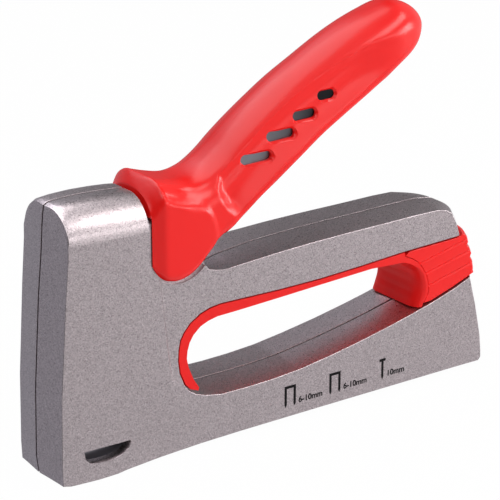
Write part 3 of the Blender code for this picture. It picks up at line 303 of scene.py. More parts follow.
class StapleGunStage(bpy.types.PropertyGroup):
    azimuth: bpy.props.FloatProperty(
        name="Azimuth", description="Side that the camera stands on", default=math.radians(-35.2),
        subtype="ANGLE")
    elevation: bpy.props.FloatProperty(
        name="Elevation", description="Height angle of the camera", default=math.radians(19.13),
        subtype="ANGLE")
    distance: bpy.props.FloatProperty(
        name="Distance", description="Camera to the middle of the tool", default=0.62, min=0.1,
        unit="LENGTH")
    aim: bpy.props.FloatVectorProperty(
        name="Aim", description="Point that the camera looks at", default=(-0.0073, 0, 0.0572), size=3,
        subtype="TRANSLATION", unit="LENGTH")
    lens: bpy.props.FloatProperty(
        name="Lens", description="Focal length in millimetres", default=139.34, min=20)


def sizes():
    return bpy.context.scene.staple_gun_sizes


def colours():
    return bpy.context.scene.staple_gun_colours


# --- modelling helpers ---
def deselect():
    if bpy.context.mode != "OBJECT":
        bpy.ops.object.mode_set(mode="OBJECT")
    bpy.ops.object.select_all(action="DESELECT")


def choose(piece):
    deselect()
    piece.select_set(True)
    bpy.context.view_layer.objects.active = piece


def skin(name, rings):
    """A closed skin: a filled ring, extruded once for each further ring and its corners put in place."""
    deselect()
    bpy.ops.mesh.primitive_circle_add(vertices=len(rings[0]), radius=1, fill_type="NGON")
    piece = bpy.context.object
    piece.name = piece.data.name = name
    here = [Vector(point) for point in rings[0]]
    for vert, point in zip(piece.data.vertices, here):
        vert.co = point
    bpy.ops.object.mode_set(mode="EDIT")
    bpy.ops.mesh.select_all(action="SELECT")
    for ring in rings[1:]:
        ring = [Vector(point) for point in ring]
        goal = {tuple(point): target for point, target in zip(here, ring)}
        bpy.ops.mesh.extrude_region_move()
        mesh = bmesh.from_edit_mesh(piece.data)
        for vert in mesh.verts:
            if vert.select:
                vert.co = goal[tuple(vert.co)]
        bmesh.update_edit_mesh(piece.data)
        here = ring
    bpy.ops.mesh.select_all(action="SELECT")
    bpy.ops.mesh.normals_make_consistent(inside=False)
    bpy.ops.object.mode_set(mode="OBJECT")
    return piece


def plate(name, outline, near, far):
    """A flat outline in the side view, filled and extruded across the tool."""
    return skin(name, [[(x, near, z) for x, z in outline], [(x, far, z) for x, z in outline]])


def bar(name, x0, x1, y0, y1, z0, z1):
    return plate(name, [(x0, z0), (x1, z0), (x1, z1), (x0, z1)], y0, y1)


def disc(name, centre, radius, near, far, sides=32):
    """A round plate or post across the tool."""
    turn = [math.tau * step / sides for step in range(sides)]
    outline = [(centre[0] + radius * math.cos(a), centre[1] + radius * math.sin(a)) for a in turn]
    return plate(name, outline, near, far)


def bevel_edges(piece, chosen, width, segments=3):
    """Rounds the edges that the test picks."""
    choose(piece)
    bpy.ops.object.mode_set(mode="EDIT")
    bpy.ops.mesh.select_mode(type="EDGE")
    bpy.ops.mesh.select_all(action="DESELECT")
    mesh = bmesh.from_edit_mesh(piece.data)
    for edge in mesh.edges:
        edge.select = chosen(*[vert.co for vert in edge.verts])
    bmesh.update_edit_mesh(piece.data)
    bpy.ops.mesh.bevel(offset=width, segments=segments, profile=0.5, affect="EDGES", clamp_overlap=True)
    bpy.ops.mesh.select_mode(type="VERT")
    bpy.ops.object.mode_set(mode="OBJECT")


def slice_piece(piece, planes):
    """Adds edge lines where planes cross the piece."""
    choose(piece)
    bpy.ops.object.mode_set(mode="EDIT")
    for point, normal in planes:
        bpy.ops.mesh.select_all(action="SELECT")
        bpy.ops.mesh.bisect(plane_co=point, plane_no=normal)
    bpy.ops.object.mode_set(mode="OBJECT")


def combine(piece, tools, operation):
    """Cuts with, or joins on, a group of closed tools, which are used up."""
    group = bpy.data.collections.new("tools")
    bpy.context.scene.collection.children.link(group)
    for tool in tools:
        for home in list(tool.users_collection):
            home.objects.unlink(tool)
        group.objects.link(tool)
    modifier = piece.modifiers.new("Tools", "BOOLEAN")
    modifier.operation = operation
    modifier.operand_type = "COLLECTION"
    modifier.collection = group
    modifier.solver = "EXACT"
    choose(piece)
    bpy.ops.object.modifier_apply(modifier=modifier.name)
    for tool in tools:
        bpy.data.objects.remove(tool)
    bpy.data.collections.remove(group)


def finish_piece(piece, body, finish, replaced=(), angle=32, keep_flat=False):
    """Moves a piece from millimetres to the frame, shades it, gives it a material and lets it ride."""
    choose(piece)
    piece.scale = (MM, MM, MM)
    piece.location = TO_FRAME
    bpy.ops.object.transform_apply(location=True, rotation=True, scale=True)
    bpy.ops.object.shade_smooth_by_angle(angle=math.radians(angle))
    piece.data.materials.clear()
    piece.data.materials.append(FINISHES[finish])
    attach(piece, body)
    if replaced:
        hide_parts(*replaced)
    if keep_flat:
        modifier = piece.modifiers.new("Flat faces", "WEIGHTED_NORMAL")
        modifier.keep_sharp = True
        choose(piece)
        bpy.ops.object.modifier_apply(modifier=modifier.name)


def smooth(value, low, high):
    t = min(1.0, max(0.0, (value - low) / (high - low)))
    return t * t * (3 - 2 * t)


def crease_x(z):
    """Where the thick column steps down to the rear of the body."""
    return CREASE_TOP[0] + (CREASE_TOP[1] - z) * SLANT


def side_half_width(x, z):
    """Half width of the body at a place in the side view."""
    rear = REAR_HALF - REAR_TAPER * (x - REAR_HALF_X)
    bow = max(0.0, (NOSE_BOW_X - x) / NOSE_BOW_RUN)
    column = COLUMN_HALF - NOSE_BOW * bow * bow
    column = rear + (column - rear) * smooth(z, *FOOT_RISE) if x > FOOT_X else column
    spread = CREASE_WIDTH + CREASE_SPREAD * (1 - smooth(z, *CREASE_FADE))
    return column + (rear - column) * smooth(x - crease_x(z), CREASE_START, spread)


def shoulder(level):
    """Share of the column's drop at a level: flat near the centre plane, round towards the side."""
    t = max(0.0, (level - SHOULDER_START) / (1 - SHOULDER_START))
    return 1 - max(0.0, 1 - t ** SHOULDER_POWER) ** (1 / SHOULDER_POWER)


def through(points, steps):
    """A smooth curve through points of any size, with this many steps between each two."""
    curve = []
    for i in range(len(points) - 1):
        around = (points[max(i - 1, 0)], points[i], points[i + 1], points[min(i + 2, len(points) - 1)])
        for step in range(steps):
            t = step / steps
            curve.append(tuple(
                0.5 * (2 * b + (c - a) * t + (2 * a - 5 * b + 4 * c - d) * t * t
                       + (3 * b - a - 3 * c + d) * t ** 3)
                for a, b, c, d in zip(*around)))
    return curve + [tuple(points[-1])]


def offset_from(line, x, z):
    """Distance from a side-view line, positive to the right of its direction, and the share along it."""
    best = None
    for i, ((x0, z0), (x1, z1)) in enumerate(zip(line, line[1:])):
        dx, dz = x1 - x0, z1 - z0
        t = min(1.0, max(0.0, ((x - x0) * dx + (z - z0) * dz) / (dx * dx + dz * dz)))
        gap_x, gap_z = x - x0 - t * dx, z - z0 - t * dz
        gap = math.hypot(gap_x, gap_z)
        if best is None or gap < best[0]:
            best = (gap, 1 if dz * (x - x0) - dx * (z - z0) > 0 else -1, (i + t) / (len(line) - 1))
    return best[0] * best[1], best[2]


# --- body ---
def body_half(name, side):
    """One cast half as a solid: outlines from the centre plane out to the side face, edges rounded."""
    rings = []
    for level in BODY_LEVELS:
        ring = []
        for x, z, dx, dz, rounded in BODY_OUTLINE:
            along = level if dx > 0 else level * level
            fall = shoulder(level) * rounded + level * level * (1 - rounded)
            ring.append((x + dx * along, side * level * SIDE, z + dz * fall))
        rings.append(ring)
    half = skin(name, rings)
    bevel_edges(half, lambda a, b: min(abs(a.y), abs(b.y)) > SIDE - 0.01, sizes().casting_edge / MM)
    bevel_edges(half, lambda a, b: max(abs(a.y), abs(b.y)) < 0.01, sizes().parting_edge / MM, 2)
    slant = Vector((1, 0, SLANT)).normalized()
    planes = [((x, 0, 0), (1, 0, 0)) for x in BODY_CUTS_X]
    planes += [((crease_x(40) + shift, 0, 40), slant) for shift in CREASE_CUTS]
    planes += [((0, 0, z), (0, 0, 1)) for z in BODY_CUTS_Z]
    slice_piece(half, planes)
    for vert in half.data.vertices:
        level = abs(vert.co.y) / SIDE
        width = side_half_width(vert.co.x, vert.co.z)
        vert.co.y = side * (PARTING + level * (width - PARTING))
    return half


def window_tool(side, flare):
    """A tool for the window, which opens outwards where it meets the body's side face."""
    rings = []
    for grow, rise in ((0, None), (0, -1.3), (0.25, -0.55), (1, 0.05), (2.6, 1.6)):
        ring = []
        for x, z in WINDOW:
            away = (Vector((x, z)) - Vector(WINDOW_MIDDLE)).normalized() * (flare * grow)
            y = WINDOW_START if rise is None else side_half_width(x, z) + rise
            ring.append((x + away.x, side * y, z + away.y))
        rings.append(ring)
    return skin("nose_window", rings)


def cheek_outline():
    """Edge of the side pocket that the handle's cheek closes over."""
    radius = CHEEK_R + CHEEK_GAP
    turn = [math.radians(a) for a in range(163, 318, 7)]
    arc = [(PIVOT[0] + radius * math.cos(a), PIVOT[1] + radius * math.sin(a)) for a in turn]
    front = [(33.2, 92.0), (33.2, PIVOT[1] + 3.2)]
    return front + arc[1:] + [(55.4, 57.6), (58.2, 58.0), (64.0, 58.0), (64.0, 92.0)]


def make_body_half(side):
    half = body_half("left_casting" if side < 0 else "right_casting", side)
    tools = [plate("hollow", outline, -side * 2.0, side * reach) for outline, reach in HOLLOWS]
    tools.append(plate("cheek_pocket", cheek_outline(), side * CHEEK_SEAT, side * 17.0))
    tools.append(window_tool(side, sizes().window_flare / MM))
    combine(half, tools, "DIFFERENCE")
    posts = [disc("boss", (x, z), SCREW_BOSS_R, side * PARTING, side * (seat + 0.1), 18)
             for x, z, seat in SCREWS]
    posts += [bar("inside", x0, x1, side * near, side * far, z0, z1)
              for x0, x1, near, far, z0, z1 in INSIDE_BARS]
    posts.append(disc("hinge_boss", MAGAZINE_PIVOT, 2.5, side * 8.9, side * 11.8, 20))
    combine(half, posts, "UNION")
    holes = []
    for x, z, seat in SCREWS:
        end = OUTSIDE if side > 0 else 1
        holes.append(disc("screw_hole", (x, z), SCREW_R + CLEAR, -9.0, end, 16))
        if side > 0:
            holes.append(disc("screw_recess", (x, z), SCREW_HEAD_R + CLEAR, seat - CLEAR, OUTSIDE, 28))
    holes.append(disc("hinge_hole", MAGAZINE_PIVOT, 1.5, side * 8.0, side * 12.0, 16))
    holes.append(disc("pivot_hole", PIVOT, 2.5 + CLEAR, side * 9.0, side * 13.0, 24))
    hook_end = HOOK_X[1] + RELEASE_TRAVEL + 0.4
    holes.append(bar("hook_slot", HOOK_X[0] - 0.4, hook_end, -side, side * 3.4, 20, 36))
    combine(half, holes, "DIFFERENCE")
    return half


def staple_mark(x0, x1, low, high, stroke):
    """Outline of a staple seen from the front, with pointed legs."""
    half, foot, crown = stroke / 2, low + stroke, high - stroke
    return [(x0, foot), (x0 + half, low), (x0 + stroke, foot), (x0 + stroke, crown), (x1 - stroke, crown),
            (x1 - stroke, foot), (x1 - half, low), (x1, foot), (x1, high), (x0, high)]


def nail_mark(x, low, high, stroke):
    half, head, foot, neck = stroke / 2, stroke * 1.4, low + stroke, high - stroke
    return [(x - half, foot), (x, low), (x + half, foot), (x + half, neck), (x + head, neck),
            (x + head, high), (x - head, high), (x - head, neck), (x - half, neck)]


def size_text(words, x, z, width):
    """Plain size numerals as a thin solid in the side view."""
    deselect()
    bpy.ops.object.text_add(location=(x, 0, z), rotation=(math.radians(90), 0, 0))
    text = bpy.context.object
    text.data.body = words
    text.data.extrude = MARK_HALF
    text.data.offset = 0.03
    bpy.context.view_layer.update()
    text.scale = (width / text.dimensions.x, TEXT_HEIGHT / CAPITAL, 1)
    bpy.ops.object.convert(target="MESH")
    bpy.ops.object.transform_apply(location=True, rotation=True, scale=True)
    return bpy.context.object


def make_marks():
    """Printed shapes of the fasteners and their leg lengths, laid on the near side face."""
    stroke = sizes().mark_stroke / MM
    outlines = [staple_mark(*place, stroke) for place in STAPLE_MARKS] + [nail_mark(*NAIL_MARK, stroke)]
    marks = [plate("mark", outline, -MARK_HALF, MARK_HALF) for outline in outlines]
    marks += [size_text(*text) for text in SIZE_TEXTS]
    deselect()
    for mark in marks:
        mark.select_set(True)
    bpy.context.view_layer.objects.active = marks[0]
    bpy.ops.object.join()
    printed = bpy.context.object
    printed.name = printed.data.name = "size_marks"
    for vert in printed.data.vertices:
        rise = INK_RISE if vert.co.y < 0 else -INK_ROOT
        vert.co.y = -side_half_width(vert.co.x, vert.co.z) - rise
    return printed


# --- red pieces ---
def across(outline_at, levels, inset):
    """Rings of a piece that spans the tool from side to side, a little inside the body's sides."""
    return [[(x, level * (side_half_width(x, z) - inset), z) for x, z in outline_at(abs(level))]
            for level in levels]


def mirrored(levels):
    return [-level for level in reversed(levels) if level] + list(levels)


def side_edges(half):
    """A test for the edges that lie beyond this half width, on one side."""
    return lambda a, b: min(abs(a.y), abs(b.y)) > half and a.y * b.y > 0


def make_trim_shape():
    palm = through(PALM_FACE, 4)
    roll_start = 0.6

    def outline(level):
        roll = 1 - math.sqrt(max(0.0, 1 - max(0.0, (level - roll_start) / (1 - roll_start)) ** 2))
        face = []
        for x, z, side_x in palm:
            step = PALM_STEP * (0.5 - ((z - PALM_LOW) / PALM_PITCH) % 1.0)
            step *= smooth(z, PALM_LOW, 28) * smooth(44 - z, 1, 3) * (1 - smooth(level, 0.55, 0.75))
            face.append((x + (side_x - x) * roll + step, z))
        return TRIM_OUTER + LOOP_REAR + face + TRIM_INNER

    trim = skin("loop_trim", across(outline, mirrored(TRIM_LEVELS), 0.1))
    bevel_edges(trim, side_edges(TRIM_SIDE), sizes().moulding_edge / MM)
    return trim


def make_block_shape():
    front = [(x + CLEAR, z, 0, 0) for x, z in LOOP_REAR]
    top = [(163.2, 48.3 - BLOCK_GAP, -REAR_BULGE, 0), (157.5, 48.0 - BLOCK_GAP, 0, 0),
           (136.5, 47.3 - BLOCK_GAP, 0, 0)]
    rear = [(x, z, -REAR_BULGE, -1.2 * (z < 36)) for x, z in BLOCK_REAR]
    rail = [(156.0, 30.2 + BLOCK_GAP, 0, -0.9), (146.0, 27.2 + BLOCK_GAP, 0, -0.9)]
    points = front + rail[::-1] + rear[::-1] + top

    def outline(level):
        return [(x + dx * level ** 2, z + dz * level ** 2) for x, z, dx, dz in points]

    block = skin("release_grip", across(outline, mirrored(BLOCK_LEVELS), 0.2))
    bevel_edges(block, side_edges(BLOCK_SIDE), BLOCK_EDGE)
    along = Vector((-math.sin(RIB_TILT), 0, math.cos(RIB_TILT)))
    slice_piece(block, [((x, 0, z + shift), along) for x, z in RIB_LINES for shift in RIB_CUTS])
    depth = sizes().rib_depth / MM
    for vert in block.data.vertices:
        nearest = min(abs((vert.co - Vector((x, vert.co.y, z))).dot(along)) for x, z in RIB_LINES)
        groove = depth * max(0.0, 1 - nearest / 0.5) + 0.12 * max(0.0, 1 - nearest / 1.0)
        edge = smooth(abs(vert.co.y), *RIB_START)
        vert.co.y -= math.copysign(groove * edge, vert.co.y)
    slot = bar("post_slot", 130.0, POST_X[1] + CLEAR, -POST_HALF - CLEAR, POST_HALF + CLEAR, 20, 52)
    pocket = bar("hook_pocket", HOOK_X[0] - CLEAR, HOOK_X[1] + CLEAR, -3.3, 3.3, 20, 37)
    combine(block, [slot, pocket], "DIFFERENCE")
    return block


def quarter(steps):
    """Cosines and sines round a quarter turn."""
    angles = [math.pi / 2 * step / steps for step in range(steps + 1)]
    return [(math.cos(angle), math.sin(angle)) for angle in angles]


def handle_section(row):
    """One ring of the handle cover: round upper corners, sides, tighter lower corners."""
    x, top, low, half, across_round, up_round = row
    lower = min(3.0 + smooth(x, 42, 50), (top - low) * 0.4, half * 0.8)
    start, end = top - up_round, low + lower
    right = [(half - across_round + across_round * s, start + up_round * c) for c, s in quarter(18)]
    right += [(half, start + (end - start) * step / 30) for step in range(1, 30)]
    right += [(half - lower + lower * c, end - lower * s) for c, s in quarter(6)]
    return [(x, y, z) for y, z in right] + [(x, -y, z) for y, z in reversed(right)]


def slot_outline(slot, grow):
    """Round-ended outline of one of the handle's slots, grown by a margin."""
    centre_x, centre_z, length = slot
    c, s = math.cos(SLOT_TILT), math.sin(SLOT_TILT)
    reach, radius = length / 2 - SLOT_HIGH / 2, SLOT_HIGH / 2 + grow
    outline = []
    for middle, first in ((reach, -90), (-reach, 90)):
        for degrees in range(first, first + 181, 15):
            u = middle + radius * math.cos(math.radians(degrees))
            v = radius * math.sin(math.radians(degrees))
            outline.append((centre_x + u * c - v * s, centre_z + u * s + v * c))
    return outline


def slot_rim(surface, slot, side, width):
    """A cutter that chamfers the edge of a slot, following the handle's skin."""
    rings = []
    for grow, rise in ((0, -2.5), (0, -width), (width, 0), (width * 2, width)):
        ring = []
        for x, z in slot_outline(slot, grow):
            place = surface.ray_cast(Vector((x, side * 40, z)), Vector((0, -side, 0)))[0]
            ring.append((x, place.y + side * rise, z))
        rings.append(ring)
    return skin("slot_rim", rings)


def hollow_share(below):
    """Share of the side hollow's depth: steep under its upper crease, easing out to the lower edge."""
    rise = 1 - (1 - min(1.0, below / HOLLOW_RISE)) ** 2
    return rise * (1 - smooth(below, *HOLLOW_FALL))


def handle_inset(x, z, neck, scoop):
    """How far the handle's side lies inside its plain section at a place in the side view."""
    cheek, share = offset_from(CHEEK_LINE, x, z)
    above = -cheek
    step = neck * smooth(above, *NECK_EDGE) ** 2 if above < NECK_EDGE[1] else neck
    inset = step * (1 - 0.35 * smooth(share, 0.5, 1.0))
    inset *= smooth(x, *NECK_FRONT) * (1 - smooth(above, *NECK_FADE))
    below, _ = offset_from(SCOOP_LINE, x, z)
    past, _ = offset_from(BLUNT_LINE, x, z)
    if below > 0 and x > HOLLOW_X:
        inset += scoop * hollow_share(below) * smooth(-past, *HOLLOW_BLUNT) * (1 - smooth(x, *HOLLOW_END))
    return inset


def make_handle_shape():
    rows = through(HANDLE, 8)
    cover = skin("handle_grip", [handle_section(row) for row in rows])
    neck, scoop = sizes().neck_step / MM, sizes().scoop_depth / MM
    for vert in cover.data.vertices:
        x, y, z = vert.co
        half = min(rows, key=lambda row: abs(row[0] - x))[3]
        share = smooth(abs(y) / half, *SIDE_SHARE)
        if share > 0 and x < TIP_X:
            wide = max(abs(y) - share * handle_inset(x, z, neck, scoop), min(abs(y), LEVER_ROOM))
            vert.co.y = math.copysign(wide, y)
    tools = [plate("cover_hollow", outline, -half, half)
             for outline, half in zip((COVER_CROWN, COVER_CHANNEL, COVER_CHEEKS), COVER_HALVES)]
    tools += [plate("slot", slot_outline(slot, 0), -OUTSIDE, OUTSIDE) for slot in SLOTS]
    surface = BVHTree.FromObject(cover, bpy.context.evaluated_depsgraph_get())
    rims = [slot_rim(surface, slot, side, sizes().slot_rim / MM) for slot in SLOTS for side in (-1, 1)]
    combine(cover, tools, "DIFFERENCE")
    combine(cover, rims, "DIFFERENCE")
    return cover


# --- materials ---
BUMP_HEIGHT = 0.0001
FLAKE_TONE = (0.7, 1.3)           # darkest and lightest flake, as a factor on the paint's colour
FLAKE_SHARE = (0.78, 0.98)        # which of the flakes turn to the flake colour
FLAKE_GLOSS = (0.27, 0.37)
ROLLED = {"fine": 900.0, "stretch": (0.12, 1, 1)}     # grain drawn out along the rolling direction
LEVER_SHADE = (-0.014, 0.012)     # where the painted shade along the lever's rear begins and ends, standing in for the shade deep inside the handle
# Painted shade: the lever's colour falls to this share towards its rear, where the inside of the handle
# lies in shade.
PAINTED_SHADE_TONE = 0.08
# The nose guide plate takes the dark steel so that the inside of the nose window reads dark: its dark
# colour is painted shade.
OWN_FINISH = {"lever": "lever_steel", "nose_guide_plate": "dark_steel"}
FINISHES = {}


def feed(node, inputs):
    """Gives each of these inputs its value, or links it to the socket that stands for it."""
    for title, value in inputs.items():
        if isinstance(value, bpy.types.NodeSocket):
            node.id_data.links.new(value, node.inputs[title])
        else:
            node.inputs[title].default_value = value


def add_node(tree, kind, inputs, **settings):
    node = tree.nodes.new("ShaderNode" + kind)
    for name, value in settings.items():
        setattr(node, name, value)
    feed(node, inputs)
    return node


def place_in(tree, kind="Object"):
    return add_node(tree, "TexCoord", {}).outputs[kind]


def calculate(tree, operation, first, second, **settings):
    return add_node(tree, "Math", {0: first, 1: second}, operation=operation, **settings).outputs["Value"]


def vector_by(tree, operation, first, second):
    return add_node(tree, "VectorMath", {0: first, 1: second}, operation=operation).outputs["Vector"]


def scaled(tree, colour, factor):
    return add_node(tree, "VectorMath", {0: colour, "Scale": factor}, operation="SCALE").outputs["Vector"]


def carried(tree, value, start, end, low, high, kind="LINEAR"):
    """A value carried from one range to another and held at its ends."""
    ranges = {"Value": value, "From Min": start, "From Max": end, "To Min": low, "To Max": high}
    return add_node(tree, "MapRange", ranges, interpolation_type=kind).outputs["Result"]


def mixed(tree, factor, first, second):
    ends = {"Factor": factor, "A": first, "B": second}
    return add_node(tree, "Mix", ends, data_type="RGBA").outputs["Result"]


def noise(tree, place, scale, detail):
    return add_node(tree, "TexNoise", {"Vector": place, "Scale": scale, "Detail": detail}).outputs["Fac"]


def new_group(name, inputs):
    """A node group with these inputs that gives a surface: its colour, roughness and height."""
    group = bpy.data.node_groups.new(name, "ShaderNodeTree")
    for title, default in inputs.items():
        kind = "Float" if isinstance(default, float) else {3: "Vector", 4: "Color"}[len(default)]
        made = group.interface.new_socket(name=title, in_out="INPUT", socket_type="NodeSocket" + kind)
        made.default_value = default
    for title, kind in (("Colour", "Color"), ("Roughness", "Float"), ("Height", "Float")):
        group.interface.new_socket(name=title, in_out="OUTPUT", socket_type="NodeSocket" + kind)
    return group, group.nodes.new("NodeGroupInput").outputs


def give_surface(group, colour, roughness, height):
    feed(group.nodes.new("NodeGroupOutput"), {"Colour": colour, "Roughness": roughness, "Height": height})
    return group


def flake_group():
    """Metallic paint: small flakes that are lighter or darker, and a height for their sparkle."""
    group, given = new_group("metal_flake", {
        "Colour": (0.3, 0.3, 0.3, 1), "Flake colour": (0.6, 0.6, 0.6, 1), "Scale": 2400.0, "Amount": 0.5})
    cells = {"Vector": place_in(group), "Scale": given["Scale"]}
    cells = add_node(group, "TexVoronoi", cells, feature="F1")
    tone = add_node(group, "SeparateColor", {"Color": cells.outputs["Color"]}).outputs
    dark = scaled(group, given["Colour"], carried(group, tone["Red"], 0, 1, *FLAKE_TONE))
    bright = carried(group, tone["Green"], *FLAKE_SHARE, 0, 1)
    amount = calculate(group, "MULTIPLY", bright, given["Amount"])
    colour = mixed(group, amount, dark, given["Flake colour"])
    return give_surface(group, colour, carried(group, tone["Red"], 0, 1, *FLAKE_GLOSS), tone["Blue"])


def grain_group():
    """Moulded or rolled surface: slow patches in tone and gloss and a fine height."""
    group, given = new_group("surface_grain", {
        "Colour": (0.5, 0.5, 0.5, 1), "Patch scale": 30.0, "Fine scale": 1500.0, "Tone change": 0.1,
        "Gloss low": 0.3, "Gloss high": 0.4, "Stretch": (1.0, 1.0, 1.0)})
    stretched = vector_by(group, "MULTIPLY", place_in(group), given["Stretch"])
    patches = noise(group, stretched, given["Patch scale"], 3.0)
    fine = noise(group, stretched, given["Fine scale"], 2.0)
    centred = calculate(group, "SUBTRACT", patches, 0.5)
    change = {0: centred, 1: given["Tone change"], 2: 1.0}
    change = add_node(group, "Math", change, operation="MULTIPLY_ADD").outputs["Value"]
    gloss = carried(group, fine, 0, 1, given["Gloss low"], given["Gloss high"])
    return give_surface(group, scaled(group, given["Colour"], change), gloss, fine)


def surface_material(name, group, given, metallic, specular, bump, darker=None):
    """A material on a shared surface. With `darker`, its colour falls along X between two places, as
    painted shade.
    """
    material = bpy.data.materials.new(name)
    material.use_nodes = True
    tree = material.node_tree
    surface = add_node(tree, "Group", given, node_tree=group).outputs
    colour = surface["Colour"]
    # Painted shade: the colour darkens along X, standing in for the shade deeper inside the handle.
    if darker:
        along = add_node(tree, "SeparateXYZ", {"Vector": place_in(tree)}).outputs["X"]
        colour = scaled(tree, colour, carried(tree, along, *darker, 1, PAINTED_SHADE_TONE))
    raised = {"Strength": bump, "Distance": BUMP_HEIGHT, "Height": surface["Height"]}
    raised = add_node(tree, "Bump", raised)
    feed(tree.nodes["Principled BSDF"], {
        "Base Color": colour, "Metallic": metallic, "Roughness": surface["Roughness"],
        "Specular IOR Level": specular, "Normal": raised.outputs["Normal"]})
    return material


def paint_material(group):
    tint = colours()
    given = {"Colour": (*tint.cast_metal, 1), "Flake colour": (*tint.flake, 1),
             "Scale": 1 / sizes().flake, "Amount": 0.55}
    return surface_material("satin_metallic_paint", group, given, metallic=0.95, specular=0.5, bump=0.16)


def grained_material(name, group, colour, metallic, gloss, bump, specular=0.5, fine=1500.0, tone=0.12,
                     stretch=(1, 1, 1), darker=None):
    given = {"Colour": (*colour, 1), "Patch scale": 35.0, "Fine scale": fine, "Tone change": tone,
             "Gloss low": gloss[0], "Gloss high": gloss[1], "Stretch": stretch}
    return surface_material(name, group, given, metallic, specular, bump, darker)


def make_finishes():
    flakes, grain = flake_group(), grain_group()
    tint = colours()
    plain = {
        "red_plastic": ("red_moulding", tint.red, 0, (0.22, 0.28), 0.03,
                        {"specular": 0.36, "tone": 0.04}),
        "trim_plastic": ("trim_moulding", tint.trim_red, 0, (0.32, 0.42), 0.06,
                         {"specular": 0.3, "tone": 0.06}),
        "steel": ("rolled_steel", tint.steel, 1, (0.28, 0.42), 0.08, ROLLED),
        # The lever's steel darkens towards its rear: painted shade for the inside of the handle.
        "lever_steel": ("lever_steel", tint.steel, 1, (0.3, 0.42), 0.08,
                        {"darker": LEVER_SHADE, **ROLLED}),
        "bright_steel": ("drawn_wire", tint.bright_steel, 1, (0.18, 0.28), 0.04, {}),
        "dark_steel": ("blackened_steel", tint.dark_steel, 0.8, (0.35, 0.5), 0.08, {}),
        "black_rubber": ("bumper_rubber", tint.rubber, 0, (0.6, 0.8), 0.2, {"fine": 700.0}),
        "ink": ("printed_ink", tint.ink, 0, (0.5, 0.6), 0.05, {"specular": 0.1}),
    }
    FINISHES["cast_metal"] = paint_material(flakes)
    for title, (name, colour, metallic, gloss, bump, others) in plain.items():
        FINISHES[title] = grained_material(name, grain, colour, metallic, gloss, bump, **others)


# --- stage ---
BEHIND = ("Is Camera Ray", "Is Glossy Ray", "Is Transmission Ray")    # rays that find the backdrop
SEEN_FLOOR = 0.985        # share of the backdrop on the floor; the rest keeps the shadow
PANEL_END = 0.8           # how far towards a panel's direction it reaches its full brightness
CEILING = 1.7             # brightness of the ceiling in reflections
CEILING_RISE, CEILING_SIDE = (0.42, 0.6), (0.42, 0.12)
COOL = (0.78, 0.86, 1.12, 1)
WHITE = (1, 1, 1, 1)
# Panels by direction: where each begins, its dim and its full brightness.
RIGHT_PANEL = ((0.8, -0.6, 0), -0.1, 0.1, 0.7)
LEFT_PANEL = ((-0.45, 0.89, 0), 0.35, 0.1, 0.42)
DIFFUSE_PANEL = ((0.55, -0.75, 0.35), -0.1, 0.05, 0.14)
# Lamps: name, place, width, height, power, colour.
LAMPS = (
    ("key_softbox", (0.6, -0.52, 0.77), 0.8, 0.3, 4.5, (1, 0.99, 0.98)),
    ("overhead_softbox", (-0.2, 0.3, 1.05), 1.0, 1.0, 6.5, (1, 1, 1)),
    ("front_softbox", (0.35, -0.95, 0.24), 1.1, 0.26, 1.8, (1, 1, 1)),
    ("right_softbox", (0.88, -0.5, 0.16), 0.4, 0.3, 3, (1, 1, 1)),
    ("left_fill", (-0.75, -0.35, 0.8), 0.5, 0.5, 2, (0.9, 0.95, 1)),
)
LAMP_AIM = Vector((0, 0, 0.05))


def any_ray(tree, rays):
    """1 for any of the given kinds of ray, as one number."""
    path = add_node(tree, "LightPath", {}).outputs
    found = path[rays[0]]
    for title in rays[1:]:
        found = calculate(tree, "MAXIMUM", found, path[title])
    return found


def side_panel(tree, heading, direction, start, dim, bright):
    """A brightness that rises from dim to bright as the heading turns towards a direction."""
    turned = add_node(tree, "VectorMath", {0: heading, 1: direction}, operation="DOT_PRODUCT")
    return carried(tree, turned.outputs["Value"], start, PANEL_END, dim, bright, "SMOOTHSTEP")


def studio_light(tree, place, centre):
    """Colour and strength: white to the camera. Reflections find a bright front right and a dimmer,
    cooler back left, with dark between them, and a bright ceiling."""
    offset = vector_by(tree, "SUBTRACT", place, centre)
    flat = vector_by(tree, "MULTIPLY", offset, (1, 1, 0))
    heading = add_node(tree, "VectorMath", {0: flat}, operation="NORMALIZE").outputs["Vector"]
    right, left = side_panel(tree, heading, *RIGHT_PANEL), side_panel(tree, heading, *LEFT_PANEL)
    axis = add_node(tree, "SeparateXYZ", {"Vector": place}).outputs
    over = carried(tree, axis["Z"], *CEILING_RISE, 0, CEILING, "SMOOTHSTEP")
    beside = carried(tree, axis["X"], *CEILING_SIDE, 0, 1, "SMOOTHSTEP")
    ceiling = calculate(tree, "MULTIPLY", over, beside)
    panels = calculate(tree, "MAXIMUM", calculate(tree, "MAXIMUM", right, left), ceiling)
    camera = any_ray(tree, BEHIND[:1])
    cool = calculate(tree, "SUBTRACT", left, camera, use_clamp=True)
    return mixed(tree, cool, WHITE, COOL), calculate(tree, "MAXIMUM", camera, panels)


def show_mix(tree, share, plain, backdrop, out):
    """Shows the plain shader, and by this share the backdrop instead."""
    mix = add_node(tree, "MixShader", {"Fac": share, 1: plain, 2: backdrop})
    feed(tree.nodes[out], {"Surface": mix.outputs["Shader"]})


